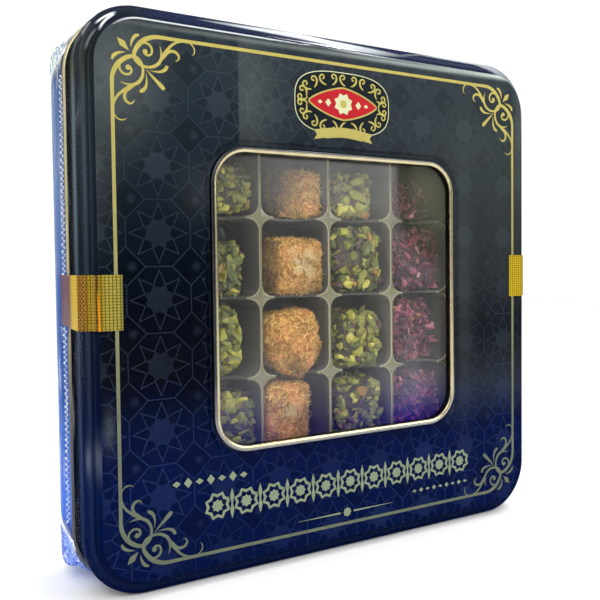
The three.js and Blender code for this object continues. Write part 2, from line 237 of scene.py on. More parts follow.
class Graph:
    """Nodes of a material or world, with sockets and numbers fed alike."""

    def __init__(self, name, owner=None, space="Object"):
        self.owner = owner or bpy.data.materials.new(name)
        self.owner.use_nodes = True
        self.tree = self.owner.node_tree
        self.tree.nodes.clear()
        self.where = self.node("ShaderNodeTexCoord").outputs[space]

    def node(self, kind, inputs=None, **settings):
        made = self.tree.nodes.new(kind)
        for key, value in settings.items():
            setattr(made, key, value)
        for key, value in (inputs or {}).items():
            self.feed(made.inputs[key], value)
        return made

    def value(self, kind, inputs=None, output=0, **settings):
        return Value(self, self.node(kind, inputs, **settings).outputs[output])

    def parts(self, kind, whole):
        """All outputs of a node that takes a vector or colour apart."""
        return [Value(self, socket) for socket in self.node(kind, {0: whole}).outputs]

    def feed(self, socket, value):
        if isinstance(value, bpy.types.Node):
            value = value.outputs[0]
        elif isinstance(value, Value):
            value = value.socket
        if isinstance(value, bpy.types.NodeSocket):
            self.tree.links.new(value, socket)
        elif isinstance(value, (tuple, list)) and len(value) == 3 and socket.type == "RGBA":
            socket.default_value = (*value, 1)
        else:
            socket.default_value = value

    def math(self, operation, a, b=0.0):
        return self.value("ShaderNodeMath", {0: a, 1: b}, operation=operation)

    def larger(self, a, b):
        return self.math("MAXIMUM", a, b)

    def smaller(self, a, b):
        return self.math("MINIMUM", a, b)

    def length(self, a, b):
        return self.math("SQRT", a * a + b * b)

    def step(self, value, low, high):
        """0 below low, 1 above high, smooth between."""
        inputs = {"Value": value, "From Min": low, "From Max": high}
        return self.value("ShaderNodeMapRange", inputs, "Result", interpolation_type="SMOOTHSTEP")

    def mix(self, factor, a, b, blend="MIX"):
        inputs = {0: factor, 6: a, 7: b}
        return self.value("ShaderNodeMix", inputs, 2, data_type="RGBA", blend_type=blend)

    def product(self, a, b):
        return self.mix(1.0, a, b, "MULTIPLY")

    def noise(self, scale, detail=2.0, stretch=None, distortion=0.0):
        where = self.where
        if stretch:
            where = self.node("ShaderNodeMapping", {"Vector": where, "Scale": stretch})
        inputs = {"Vector": where, "Scale": scale, "Detail": detail, "Distortion": distortion}
        return self.value("ShaderNodeTexNoise", inputs)

    def tone(self):
        """The mesh's own vertex colour."""
        return self.value("ShaderNodeVertexColor", layer_name="tone")

    def xyz(self):
        return self.parts("ShaderNodeSeparateXYZ", self.where)

    def bump(self, height, strength, distance):
        inputs = {"Height": height, "Strength": strength, "Distance": distance}
        return self.value("ShaderNodeBump", inputs)

    def ramp(self, value, stops):
        """Colours along a value, from (position, colour) stops between 0 and 1."""
        made = self.node("ShaderNodeValToRGB", {0: value})
        elements = made.color_ramp.elements
        elements[1].position, elements[1].color = stops[-1][0], (*stops[-1][1], 1)
        elements[0].position, elements[0].color = stops[0][0], (*stops[0][1], 1)
        for position, colour in stops[1:-1]:
            elements.new(position).color = (*colour, 1)
        return Value(self, made.outputs[0])

    def long_ramp(self, value, stops):
        """The same with stops in the value's own units, from the first to the last."""
        low, high = stops[0][0], stops[-1][0]
        share = (value - low) * (1 / (high - low))
        return self.ramp(share, [((at - low) / (high - low), colour) for at, colour in stops])

    def surface(self, **inputs):
        """The finished material, with one plain shader."""
        named = {key.replace("_", " "): value for key, value in inputs.items()}
        return self.done(self.node("ShaderNodeBsdfPrincipled", named))

    def lacquer(self, colour, rough, ior, most, normal=None):
        """Matt colour under a gloss that stays below `most` even at a glance."""
        matt = {"Roughness": 0.6, "Specular IOR Level": 0.0, "Base Color": colour}
        shine = {"Color": (0.94, 0.98, 1), "Roughness": rough}
        if normal is not None:
            matt["Normal"] = shine["Normal"] = normal
        under = self.node("ShaderNodeBsdfPrincipled", matt)
        gloss = self.node("ShaderNodeBsdfGlossy", shine)
        share = self.smaller(self.value("ShaderNodeFresnel", {"IOR": ior}), most)
        return self.done(self.node("ShaderNodeMixShader", {0: share, 1: under, 2: gloss}))

    def veil(self, rough, milk, share, amount):
        """A clear sheet that shows `amount` of a sheen: gloss, or `share` of it milky."""
        gloss = self.node("ShaderNodeBsdfGlossy", {"Color": (1, 1, 1), "Roughness": rough})
        haze = self.node("ShaderNodeBsdfDiffuse", {"Color": milk})
        film = self.node("ShaderNodeMixShader", {0: share, 1: gloss, 2: haze})
        clear = self.node("ShaderNodeBsdfTransparent")
        return self.done(self.node("ShaderNodeMixShader", {0: amount, 1: clear, 2: film}))

    def done(self, shader):
        self.node("ShaderNodeOutputMaterial", {"Surface": shader})
        return self.owner


# ---------------------------------------------------------------- printed lid
NEAR_WINDOW = 0.07  # metres from the tin's middle, well past the window's fold
LATTICE_PITCH = 22.4
LATTICE_X = -73.9  # middle of one star, from the middle of the tin
LATTICE_Y = 68.3
LATTICE_LINE = 0.2
STAR_TIP = 10.0
STAR_NOTCH = 5.41
STAR_PLATE = 4.14
DOT_SHIFT = 2.0


def lattice(g, x, z):
    """Truncated square tiling with an eight-pointed star in each octagon.

    Gives masks of its lines, the stars' middle plates, the stars' tips, the small squares
    between the octagons, and a soft dot in each of those squares.
    """
    half = LATTICE_PITCH / 2
    u = (x * 1000.0 - (LATTICE_X - half)) % LATTICE_PITCH - half
    v = (z * 1000.0 - (TIN_HALF + LATTICE_Y - half)) % LATTICE_PITCH - half
    # The dot sits a little to the right of the square's middle.
    du = (u + (half - DOT_SHIFT)) % LATTICE_PITCH
    du = g.smaller(du, LATTICE_PITCH - du)
    u, v = abs(u), abs(v)
    dots = 1.0 - g.step(g.length(du, half - v), 0.3, 2.3)
    a = g.larger(u, v)
    b = g.smaller(u, v)
    octagon = g.larger(a, (a + b) * math.sqrt(0.5)) - half
    radius = g.length(a, b)
    angle = g.math("ARCTAN2", b, a)
    eighth = math.pi / 8
    angle = eighth - abs(angle - eighth)
    fx = radius * g.math("COSINE", angle)
    fy = radius * g.math("SINE", angle)
    notch = Vector((STAR_NOTCH * math.cos(eighth), STAR_NOTCH * math.sin(eighth)))

    def beyond(start):
        """Distance past the line from (start, 0) to the notch."""
        along = (notch - Vector((start, 0))).normalized()
        return (fx - start) * along.y - fy * along.x

    def line(distance):
        width = LATTICE_LINE
        return 1.0 - g.step(abs(distance), width * 0.5, width * 1.5)

    star = beyond(STAR_TIP)
    plates = g.step(beyond(STAR_PLATE), 0.15, -0.15)
    tips = g.step(star, 0.15, -0.15) * (1.0 - plates)
    squares = g.step(octagon, -0.1, 0.1)
    return g.larger(line(octagon), line(star)), plates, tips, squares, dots


# Soft patches of light on the face: middle from the tin's middle, reach across and up, strength.
GLOWS = [
    (-88, 76, 13, 20, 0.042), (-95, 42, 6, 22, 0.014), (-58, 38, 9, 9, 0.01), (93, 72, 3.5, 26, 0.03),
    (60, 0, 5, 50, 0.012), (95, 93.4, 46, 0.9, 0.42), (30, 92.5, 38, 0.8, 0.2),
    (-40, 92.1, 40, 0.8, 0.07), (-91.6, -41, 1.7, 6, 0.03),
]
LAMP_GLOW = (-40.5, 74, 10, 24, 0.028)  # a painted patch of light that ends sharply on its left
LAMP_LEFT = -43.4
# Painted reflections of the like kind outside the face, on the lid's edge.
EDGE_REFLECTIONS = [(-97.6, -51, 0.8, 5, 0.065), (-94.7, -51, 1.0, 6, 0.055)]
# Painted highlight streak on the ledge along the top, from place to place: across, then where its
# middle is on the edge's profile, half its width, and strength.
LEDGE_HIGHLIGHT = [
    (-58, 2.8, 0.5, 0.0), (-38, 2.8, 0.8, 0.55), (-17, 2.9, 1.4, 0.7), (0, 1.8, 1.2, 0.72),
    (18, 1.3, 1.0, 0.45), (30, 1.2, 0.5, 0.1), (42, 4.0, 0.6, 0.15), (50, 4.2, 0.8, 0.4),
    (70, 4.2, 0.9, 0.42), (82, 2.8, 2.2, 0.3), (94, 2.8, 2.4, 0.14),
]
# Painted highlight streaks round the upper left corner: start and end as degrees up from the left,
# place on the edge's profile there, half width, and strength.
CORNER_HIGHLIGHTS = [
    (42, 68, 1.8, 1.8, 0.5, 0.75), (40, 66, 0.0, 1.5, 0.45, 0.8), (41, 51, 5.2, 5.2, 0.8, 0.8),
    (56, 66, 1.0, 1.6, 0.7, 0.7), (24, 42, 3.4, 4.0, 0.7, 0.16), (12, 40, 0.8, 0.6, 0.5, 0.11),
    (5, 36, 5.4, 5.4, 0.9, 0.07),
]
# Bands of light round the lid's edge: millimetres along its profile, from the face outwards
# (the shoulder's lip at 0, the skirt from 5.9), and strength.
EDGE_BANDS = [
    (-6, 0.03), (-4.5, 0.0), (-1, 0.13), (-0.3, 0.17), (0.4, 0.1), (0.9, 0.34), (1.4, 0.42), (2, 0.17),
    (2.8, 0.02), (4.2, 0.02), (4.8, 0.25), (5.6, 1.0), (7, 1.0), (8.6, 0.68), (10.5, 0.15), (13, 0.0),
    (19, 0.02),
]


def glows(g, x, z, patches):
    """Sum of soft patches of light."""
    total = 0.0
    for across, up, reach_across, reach_up, strength in patches:
        u = (x - across * 0.001) * (1000 / reach_across)
        v = (z - at_z(up)) * (1000 / reach_up)
        far = u * u + v * v
        total = total + g.math("EXPONENT", far * -1.0) * strength
    return total


def edge_path(g, x, y, z):
    """Depth less the way in from the tin's outline, in millimetres: it grows along the profile."""
    centre = (TIN_HALF - CORNER_RADIUS) * 0.001
    u = g.larger(abs(x) - centre, 0.0)
    v = g.larger(abs(z - at_z(0)) - centre, 0.0)
    inward = CORNER_RADIUS * 0.001 - g.length(u, v)
    return ((y - at_y(0)) - inward) * 1000.0


def along(g, value, stops):
    """A number that runs from stop to stop: (value, number) pairs, numbers from 0 to 10."""
    return g.long_ramp(value, [(at, (number / 10,) * 3) for at, number in stops]) * 10.0


def near(g, value, middle, reach):
    """1 close to the middle, 0 beyond the reach."""
    return g.step(abs(value - middle) / reach, 1.0, 0.45)


def ledge_streaks(g, x, z, path):
    """Streaks of light on the ledge: along the top, and round the upper left corner."""
    stops = [[(row[0], row[k]) for row in LEDGE_HIGHLIGHT] for k in (1, 2, 3)]
    middle, half, strength = (along(g, x * 1000.0, numbers) for numbers in stops)
    total = near(g, path, middle, half * 1.35) * strength * g.step(z, 0.166, 0.178)
    centre = TIN_HALF - CORNER_RADIUS
    up = z - at_z(centre)
    left = -0.001 * centre - x
    angle = g.math("ARCTAN2", up, left) * (180 / math.pi)
    corner = (up > 0.0) * (left > 0.0)
    for start, end, at_start, at_end, half, strength in CORNER_HIGHLIGHTS:
        share = (angle - start) / (end - start)
        place_at = share * (at_end - at_start) + at_start
        streak = near(g, path, place_at, half) * near(g, share, 0.5, 0.55)
        total = g.larger(total, streak * corner * strength)
    return total


def print_material():
    """Dark print that turns navy towards the floor, with the lattice on the lid's face alone. Its
    paler grey higher up is partly painted reflection, and the face and edge carry painted highlights,
    painted patches of light and painted shade.
    """
    g = Graph("printed navy tin")
    x, y, z = g.xyz()
    lines, plates, tips, squares, dots = lattice(g, x, z)
    height = z * (0.5 / (TIN_HALF * 0.001))
    # The face's ground by height: navy low down, paler and greyer higher up, partly painted
    # reflection.
    ground = g.ramp(height, shown_rows(
        (0.0, 6, 20, 54), (0.2, 3, 18, 52), (0.29, 4, 15, 40), (0.37, 2, 8, 20), (0.5, 9, 14, 23),
        (0.62, 17, 23, 30), (0.75, 28, 34, 40), (0.95, 38, 45, 50),
    ))
    # The lid's sides by height, like the face: partly painted light and reflection.
    sides = g.ramp(height, shown_rows(
        (0.0, 4, 16, 48), (0.2, 6, 24, 60), (0.35, 8, 17, 38), (0.6, 16, 23, 32), (0.85, 25, 33, 39),
        (0.94, 26, 33, 52), (0.97, 24, 32, 60),
    ))
    path = edge_path(g, x, y, z)
    # Painted shade: the skirt, from 6 mm along the edge's profile outwards, is darkened to near black.
    sides = g.mix(g.step(path, 6.0, 12.0), sides, g.product(sides, (0.3, 0.28, 0.24)))
    # Painted highlights: bands of light along the edge's profile, broken by noise and tinted by
    # height.
    bands = g.long_ramp(path, [(at, (light,) * 3) for at, light in EDGE_BANDS])
    bands = bands * (0.4 + g.noise(45.0, 2.0, (1, 1, 0.3)) * 1.1)
    sides = g.mix(bands, sides, g.ramp(height, [
        (0.0, (0.004, 0.01, 0.022)), (0.15, (0.009, 0.016, 0.034)), (0.35, (0.026, 0.036, 0.07)),
        (0.7, (0.08, 0.1, 0.116)), (0.86, (0.08, 0.1, 0.11)), (0.93, (0.01, 0.013, 0.02)),
    ]), "ADD")
    corner = g.step(x, -0.072, -0.08) * g.step(z, 0.165, 0.18)
    sides = g.mix(corner, sides, g.product(sides, (1.15, 1.0, 0.55)))
    # Painted highlights on the ledge along the top and round the upper left corner.
    sides = g.mix(ledge_streaks(g, x, z, path), sides, (0.9, 0.95, 0.94), "ADD")
    # Painted reflections on the lower left of the edge.
    sides = g.mix(glows(g, x, z, EDGE_REFLECTIONS), sides, (0.92, 1.0, 1.08), "ADD")
    shade = tips * 0.15 + squares * 0.25
    colour = g.mix(shade, ground, shown(3, 6, 14))
    light = g.ramp(height, [
        (0.0, (0.008, 0.013, 0.034)), (0.28, (0.008, 0.013, 0.032)),
        (0.4, (0.009, 0.012, 0.017)), (1.0, (0.013, 0.016, 0.017)),
    ])
    uneven = 0.55 + g.step(g.noise(22.0, 3.0), 0.3, 0.7) * 0.65
    upper_right = g.step(x, 0.0, 0.06) * g.step(z, 0.09, 0.13)
    upper_left = g.step(x, -0.03, -0.08) * g.step(z, 0.1, 0.16)
    lines = lines * (1.0 - upper_left * 0.45) * (1.0 - upper_right * 0.5)
    amount = lines + plates * 0.55 + dots * 0.6
    plain = 1.0 - g.step(z, 0.186, 0.19) * 0.8
    colour = g.mix(amount * uneven * plain, colour, light, "ADD")
    # Painted reflection: a soft haze over the right of the face, by height.
    right_reflection = g.ramp(height, [
        (0.21, (0, 0, 0)), (0.3, (0.014, 0.016, 0.013)), (0.42, (0.004, 0.005, 0.005)),
        (0.55, (0.016, 0.018, 0.016)), (0.7, (0.018, 0.02, 0.017)), (0.8, (0.014, 0.016, 0.013)),
        (0.9, (0.004, 0.005, 0.003)),
    ])
    colour = g.mix(g.step(x, -0.01, 0.09), colour, right_reflection, "ADD")
    # Painted patches of light and reflection on the face.
    lamp = glows(g, x, z, [LAMP_GLOW])
    lamp = lamp * g.step(x, (LAMP_LEFT - 1) * 0.001, LAMP_LEFT * 0.001)
    patches = (lamp + glows(g, x, z, GLOWS)) * (0.7 + uneven * 0.35)
    colour = g.mix(patches, colour, (0.95, 1.05, 0.95), "ADD")
    by_window = g.larger(abs(x), abs(z - at_z(0))) < NEAR_WINDOW
    face = g.larger(y < at_y(0.3), by_window)
    colour = g.mix(face, sides, colour)
    rough = 0.14 + g.noise(60.0, 3.0) * 0.08
    glossy = g.step(z, 0.06, 0.12) * (1.0 - face)
    most = 0.003 + glossy * 0.003
    return g.lacquer(colour, rough, 1.17, most)


# Profiles of the lid from its window to the skirt's edge, and back inside: half width and depth.
LID_OUTSIDE = [(TIN_HALF - inward, depth) for inward, depth in [
    (5.9, 0), (5.4, 0.25), (5, 1.2), (4.75, 3.4), (4.4, 4.1), (3.8, 4), (2.5, 3.85), (1.3, 4.1),
    (1, 4.4), (0.7, 4.35), (0.3, 4.65), (0.06, 5.2), (0, 5.9),
]]
LID_INSIDE = [(TIN_HALF - inward, depth) for inward, depth in [
    (SHEET, SKIRT_DEPTH), (SHEET, 6), (1.2, 5.05), (4.6, 4.8), (5.4, 4), (5.8, SHEET),
]]
WINDOW_FOLD = [(WINDOW_HALF + out, depth) for out, depth in [
    (5, SHEET), (3.7, 1.4), (2.5, 1.4), (2.5, 0.8), (3.6, 0.8),
]]


def lid_ring(half, depth):
    by_window = half < (WINDOW_HALF + TIN_HALF) / 2
    ref_half = WINDOW_HALF if by_window else TIN_HALF
    ref_radius = WINDOW_RADIUS if by_window else CORNER_RADIUS
    return at_depth(square_ring(half, ref_radius + half - ref_half), depth)


def make_lid(material):
    profile = [(WINDOW_HALF + 4.6, 0.0), (WINDOW_HALF + 4.6 + 0.15, 0.0)]
    profile += [*smooth_line(LID_OUTSIDE, 3), (TIN_HALF, SKIRT_DEPTH), *LID_INSIDE, *WINDOW_FOLD]
    points, faces = loft([lid_ring(h, d) for h, d in profile], closed=True)
    mesh_piece("lid_shell", points, faces, material, ["lid"])


# ---------------------------------------------------------------- metal rings and base
def gold_material():
    g = Graph("pale gold metal")
    streaks = g.noise(140.0, 3.0, (1, 6, 1))
    _, _, z = g.xyz()
    gold = g.mix(streaks, (0.24, 0.21, 0.11), (0.46, 0.42, 0.26))
    grey = g.mix(streaks, (0.04, 0.042, 0.05), (0.11, 0.11, 0.115))
    colour = g.mix(g.step(z, 0.05, 0.12), grey, gold)
    rough = 0.34 + g.noise(300.0) * 0.14
    bump = g.bump(g.noise(700.0), 0.05, 0.0003)
    return g.surface(Base_Color=colour, Metallic=1.0, Roughness=rough, Normal=bump)


def rim_material():
    """Gold on the inner half of the bead and bare blue-grey metal on its outer half; the outer half is
    dark as painted shade except along the bottom, where a painted reflection makes it paler, and the
    inner wall is painted dark as shade.
    """
    g = Graph("window rim metal")
    streaks = g.noise(160.0, 3.0)
    inner = g.mix(streaks, (0.36, 0.31, 0.17), (0.60, 0.53, 0.34))
    _, y, z = g.xyz()
    dark = g.mix(streaks, (0.02, 0.024, 0.03), (0.05, 0.055, 0.065))
    # Painted shade and reflection: the outer half dark, and paler only along the bottom of the window.
    outer = g.mix(g.step(z, 0.075, 0.05), dark, g.mix(streaks, (0.16, 0.17, 0.19), (0.26, 0.27, 0.3)))
    colour = g.mix(g.tone(), inner, outer)
    # Painted shade: the inner wall down to the sheet is dark.
    wall = g.step(y, at_y(0.3), at_y(0.8))
    colour = g.mix(wall, colour, (0.045, 0.052, 0.055))
    bump = g.bump(g.noise(700.0), 0.04, 0.0003)
    return g.surface(Base_Color=colour, Metallic=1.0, Roughness=0.26, Normal=bump)


def make_rings(gold):
    middle = SKIRT_DEPTH + CURL_HEIGHT / 2
    end = SKIRT_DEPTH + CURL_HEIGHT
    curl = [
        (TIN_HALF - SHEET, SKIRT_DEPTH), (TIN_HALF, SKIRT_DEPTH),
        (TIN_HALF + CURL_PROUD, middle - 0.5), (TIN_HALF + CURL_PROUD, middle + 0.5),
        (TIN_HALF - 0.2, end), (TIN_HALF - SHEET, end),
    ]
    rings = []
    for half, depth in smooth_line(curl, 3):
        ring = square_ring(half, CORNER_RADIUS + half - TIN_HALF, CORNER_STEPS, 60)
        # The curl is pressed flat under the two tapes.
        at_tape = np.where(ring[:, 0] > 0, TAPE_RIGHT_HEIGHT, TAPE_LEFT_HEIGHT)
        away = np.abs(ring[:, 1] - at_tape) - TAPE_HEIGHT / 2
        flat = TIN_HALF + UNDER_TAPE + np.clip(away - 0.3, 0, 3) * 0.4
        ring[:, 0] = np.clip(ring[:, 0], -flat, flat)
        rings.append(at_depth(ring, depth))
    points, faces = loft(rings, closed=True)
    mesh_piece("curl_ring", points, faces, gold, ["lid_curl"])
    outer = WINDOW_HALF + RIM_WIDTH
    rim = [
        (WINDOW_HALF, WINDOW_DEPTH), (WINDOW_HALF, 0.3), (WINDOW_HALF + 0.3, -0.25),
        (WINDOW_HALF + RIM_WIDTH / 2, -0.5), (outer - 0.3, -0.25), (outer, 0.4), (outer, 1.4),
        (outer + 3, 1.4), (outer + 3, WINDOW_DEPTH),
    ]
    curve = smooth_line(rim, 3)
    points, faces = loft([lid_ring(half, depth) for half, depth in curve], closed=True)
    bare = np.clip((curve[:, 0] - (WINDOW_HALF + 1.1)) / 0.35 + 0.5, 0, 1)
    colours = grey_tones(np.repeat(bare, len(points) // len(curve)))
    names = ["window_rim"]
    mesh_piece("rim_bead", points, faces, rim_material(), names, 35, colours)


def base_material():
    g = Graph("blue lacquered tin")
    # Painted reflections: upright streaks, as paler and darker copies of the blue.
    streaks = g.step(g.noise(110.0, 4.0, (1, 2, 0.12)), 0.3, 0.7)
    _, y, z = g.xyz()
    # The blue by height, greyer higher up: partly painted reflection.
    tint = g.ramp(z * (0.5 / (TIN_HALF * 0.001)), shown_rows(
        (0.0, 60, 102, 200), (0.15, 58, 100, 196), (0.32, 34, 76, 148), (0.5, 54, 86, 146),
        (0.75, 84, 106, 148), (1.0, 78, 98, 138),
    ))
    dark = g.product(tint, (0.72, 0.74, 0.8))
    colour = g.mix(streaks, dark, g.product(tint, (1.45, 1.35, 1.2)))
    # Painted highlight: the hem at the back is paler.
    hem = g.step(y, at_y(TIN_DEPTH - HEM_DEPTH - 1), at_y(TIN_DEPTH))
    colour = g.mix(hem * 0.55, colour, shown(186, 202, 222))
    rough = 0.2 + g.noise(50.0) * 0.12
    bump = g.bump(g.noise(500.0, 2.0), 0.08, 0.0004)
    return g.lacquer(colour, rough, 1.3, 0.03, bump)


def make_base(material):
    wall = TIN_HALF - SHEET - SLIP_GAP
    hem = TIN_DEPTH - HEM_DEPTH
    panel = TIN_DEPTH - PANEL_RECESS
    hem_points = [
        (wall, hem - 0.4), (TIN_HALF - 0.2, hem), (TIN_HALF, hem + 0.4),
        (TIN_HALF, TIN_DEPTH - 0.4), (TIN_HALF - 0.3, TIN_DEPTH), (TIN_HALF - 1.6, TIN_DEPTH),
        (TIN_HALF - 2, panel),
    ]
    inner = wall - SHEET
    profile = [(inner - 40, panel - SHEET), (inner - 1, panel - SHEET), (inner, panel - SHEET - 1)]
    profile += [(inner, BASE_MOUTH), (wall, BASE_MOUTH), *smooth_line(hem_points, 3)]
    profile += [(TIN_HALF - 4, panel), (TIN_HALF - 9, panel - 0.25), (TIN_HALF - 40, panel - 0.25)]
    rings = [at_depth(square_ring(half, corner_radius(half)), depth) for half, depth in profile]
    points, faces = loft(rings, caps=True)
    mesh_piece("base_shell", points, faces, material, ["base"])


# ---------------------------------------------------------------- tray
def tray_material():
    g = Graph("smoky tray plastic")
    _, y, _ = g.xyz()
    # Painted shade: darker deep in the pockets. Painted light: the lands paler, with a painted
    # highlight along their rounded lip.
    deep = g.step(y, at_y(POCKET_TOP + 1), at_y(POCKET_FLOOR))
    land = g.step(y, at_y(POCKET_TOP + 0.9), at_y(POCKET_TOP + 0.1))
    tint = g.mix(g.noise(25.0), shown(76, 73, 70), shown(94, 90, 86))
    colour = g.mix(deep, tint, shown(60, 57, 58))
    lip = g.step(y, at_y(POCKET_TOP), at_y(POCKET_TOP + 0.1)) * land
    colour = g.mix(land, colour, shown(102, 98, 74))
    colour = g.mix(lip, colour, shown(168, 164, 132))
    bump = g.bump(g.noise(120.0, 2.0), 0.12, 0.001)
    return g.surface(Base_Color=colour, Roughness=0.22, Normal=bump)


def pocket_ring(square=None):
    """Outline of a pocket, or with `square` the matching points on the square round it."""
    centre = POCKET_HALF - POCKET_RADIUS
    steps, dip_steps = 6, 12
    ring = []
    for corner in range(4):
        turn = math.pi / 2 * corner
        c, s = math.cos(turn), math.sin(turn)
        local = []
        for i in range(steps + 1):
            a = math.pi / 2 * i / steps
            reach = POCKET_RADIUS
            if square:
                reach = (square - centre) / max(math.cos(a), math.sin(a))
            local.append((centre + reach * math.cos(a), centre + reach * math.sin(a)))
        for k in range(dip_steps + 1):
            local.append((DIP_HALF * math.cos(math.pi * k / dip_steps), square or POCKET_HALF))
        ring += [(c * x - s * y, s * x + c * y) for x, y in local]
    return np.array(ring)


def dip_depth(ring):
    """How far the divider's top lies below the tray's top: only between rows."""
    x, y = ring[..., 0], ring[..., 1]
    share = np.clip(1 - (x / DIP_HALF) ** 2, 0, 1)
    return np.where(np.abs(y) > np.abs(x), DIP_DEPTH * np.sqrt(share), 0.0)


def pocket_wall(depth):
    """How far a pocket's wall has leaned in at a depth."""
    return POCKET_DRAFT / (POCKET_FLOOR - POCKET_TOP) * (depth - POCKET_TOP)


def make_tray(material):
    """One sheet: a cell for each pocket, and a flange from the outermost cells to the rim."""
    base_ring = pocket_ring()
    top = POCKET_TOP + dip_depth(base_ring)
    rings = [at_depth(pocket_ring(PITCH / 2), top)]

    def add_ring(inset, depth):
        scale = (POCKET_HALF - (pocket_wall(depth) + inset)[:, None]) / POCKET_HALF
        rings.append(at_depth(base_ring * scale, depth))

    for inset, drop in [(-0.12, 0.02), (-0.02, 0.1), (0.06, 0.3)]:
        add_ring(inset, top + drop)
    lowest = POCKET_FLOOR - 3.0
    for share in (0.15, 0.4, 0.7, 1.0):
        add_ring(0.06, top + 0.3 + (lowest - top - 0.3) * share)
    for inset, rise in [(0.35, 1.4), (1.2, 0.45), (2.6, 0.05), (5.0, 0.0)]:
        add_ring(inset, np.full(len(top), POCKET_FLOOR - rise))
    cell, faces = loft(rings, flip=True)
    count = len(base_ring)
    last = (len(rings) - 1) * count
    cell = np.concatenate([cell, [[0, 0, POCKET_FLOOR]]])
    for i in range(count):
        faces.append([len(cell) - 1, last + i, last + (i + 1) % count])
    points, all_faces = [], []
    for column in range(COLUMNS):
        for row in range(COLUMNS):
            x, y = pocket_centre(column, row)
            all_faces += [[i + len(points) * len(cell) for i in f] for f in faces]
            points.append(cell + (x, y, 0))
    rim = TIN_HALF - 2 * SHEET - 2 * SLIP_GAP
    outer = square_ring(rim, corner_radius(rim), 8, 6)
    inner = outer * (COLUMNS * PITCH / 2) / np.abs(outer).max(1, keepdims=True)
    lip = [at_depth(inner, POCKET_TOP), at_depth(outer, POCKET_TOP)]
    flange, flange_faces = loft([*lip, at_depth(outer, POCKET_FLOOR + 4)])
    start = len(points) * len(cell)
    all_faces += [[i + start for i in f] for f in flange_faces]
    points = np.concatenate([*points, flange])
    tray = mesh_piece("tray_sheet", points, all_faces, material, ["tray"], 0)
    work = bmesh.new()
    work.from_mesh(tray.data)
    bmesh.ops.remove_doubles(work, verts=work.verts, dist=2e-5)
    work.to_mesh(tray.data)
    work.free()
    skin = tray.modifiers.new("skin", "SOLIDIFY")
    skin.thickness = TRAY_SKIN * 0.001
    skin.offset = -1


def pocket_centre(column, row):
    middle = (COLUMNS - 1) / 2
    return (column - middle) * PITCH, (middle - row) * PITCH


# ---------------------------------------------------------------- cubes
# By column and row: left, right, bottom and top of the front face from the middle of the tin,
# the turn in its plane in degrees, and how far it sits behind CUBE_FRONT.
SHOWN_CUBES = {
    (1, 1): (-54, -33, 32.2, 50, 2, 0),
    (1, 2): (-57.5, -36, 1.2, 21.5, -3, 0),
    (1, 3): (-58, -37.3, -28.5, -3.5, 0, 0),
    (1, 4): (-54, -32, -59, -37, 4, 0),
    (2, 1): (-20.3, -1.6, 31.4, 49.6, -2, 1),
    (2, 2): (-22, -1.6, 0.9, 22.6, -1, 0),
    (2, 3): (-26.5, -2.6, -30.2, -6.2, 9, -1.5),
    (2, 4): (-27.8, -8.2, -59.2, -34.2, -2, 0),
    (3, 1): (3, 23.6, 32, 49.6, 0, 1),
    (3, 2): (4, 27, 1.1, 27.4, 1, -0.5),
    (3, 3): (4.5, 27, -29.6, -7.2, -2, 0),
    (3, 4): (4, 27.2, -59, -35, 3, 0),
    (4, 1): (34, 54, 31.8, 47.6, 0, 1),
    (4, 2): (34.5, 58.2, 1, 27.4, -2, 0),
    (4, 3): (33, 54.8, -29.5, -4.3, 2, 0),
    (4, 4): (34, 58.4, -59, -36, 0, 0),
}
COATINGS = ["petals", "pistachio", "shreds", "pistachio", "petals", "shreds"]
SINK = {"pistachio": 1.1, "shreds": 0.5, "petals": 0.9}  # of the core under its coating
SQUARENESS = {"pistachio": 7.0, "shreds": 9.0, "petals": 5.0}  # power of the rounded block
# How thickly bits lie on a cube's right, left, top, bottom, front and back.
SCATTER_COVER = np.array([0.7, 1.0, 1.0, 0.7, 1.7, 0.05])
# What sets single cubes apart, by column and row. The first is of cubes with a bare patch: where
# its middle is on the front, in millimetres, and its radius.
BARE_PATCHES = {(2, 2): (0.5, 1.5, 5.2), (2, 4): (0.4, 2.0, 3.4)}
LEFT_SHADES = {(2, 1): 0.4, (2, 2): 0.7}  # painted shade on cubes whose left side lies in shadow: the share of tone kept there
# Painted light and shade on a shreds cube that is paler at one corner: change of tone across and up.
LIGHT_SLOPES = {(2, 1): (0.55, 0.15), (2, 3): (-0.05, 0.6)}
POINTS = {(2, 3): 3.6}  # of a cube that shows a corner below: how far its middle hangs down
ROUNDER = {(2, 3): 4.5}  # its squareness instead of its coating's


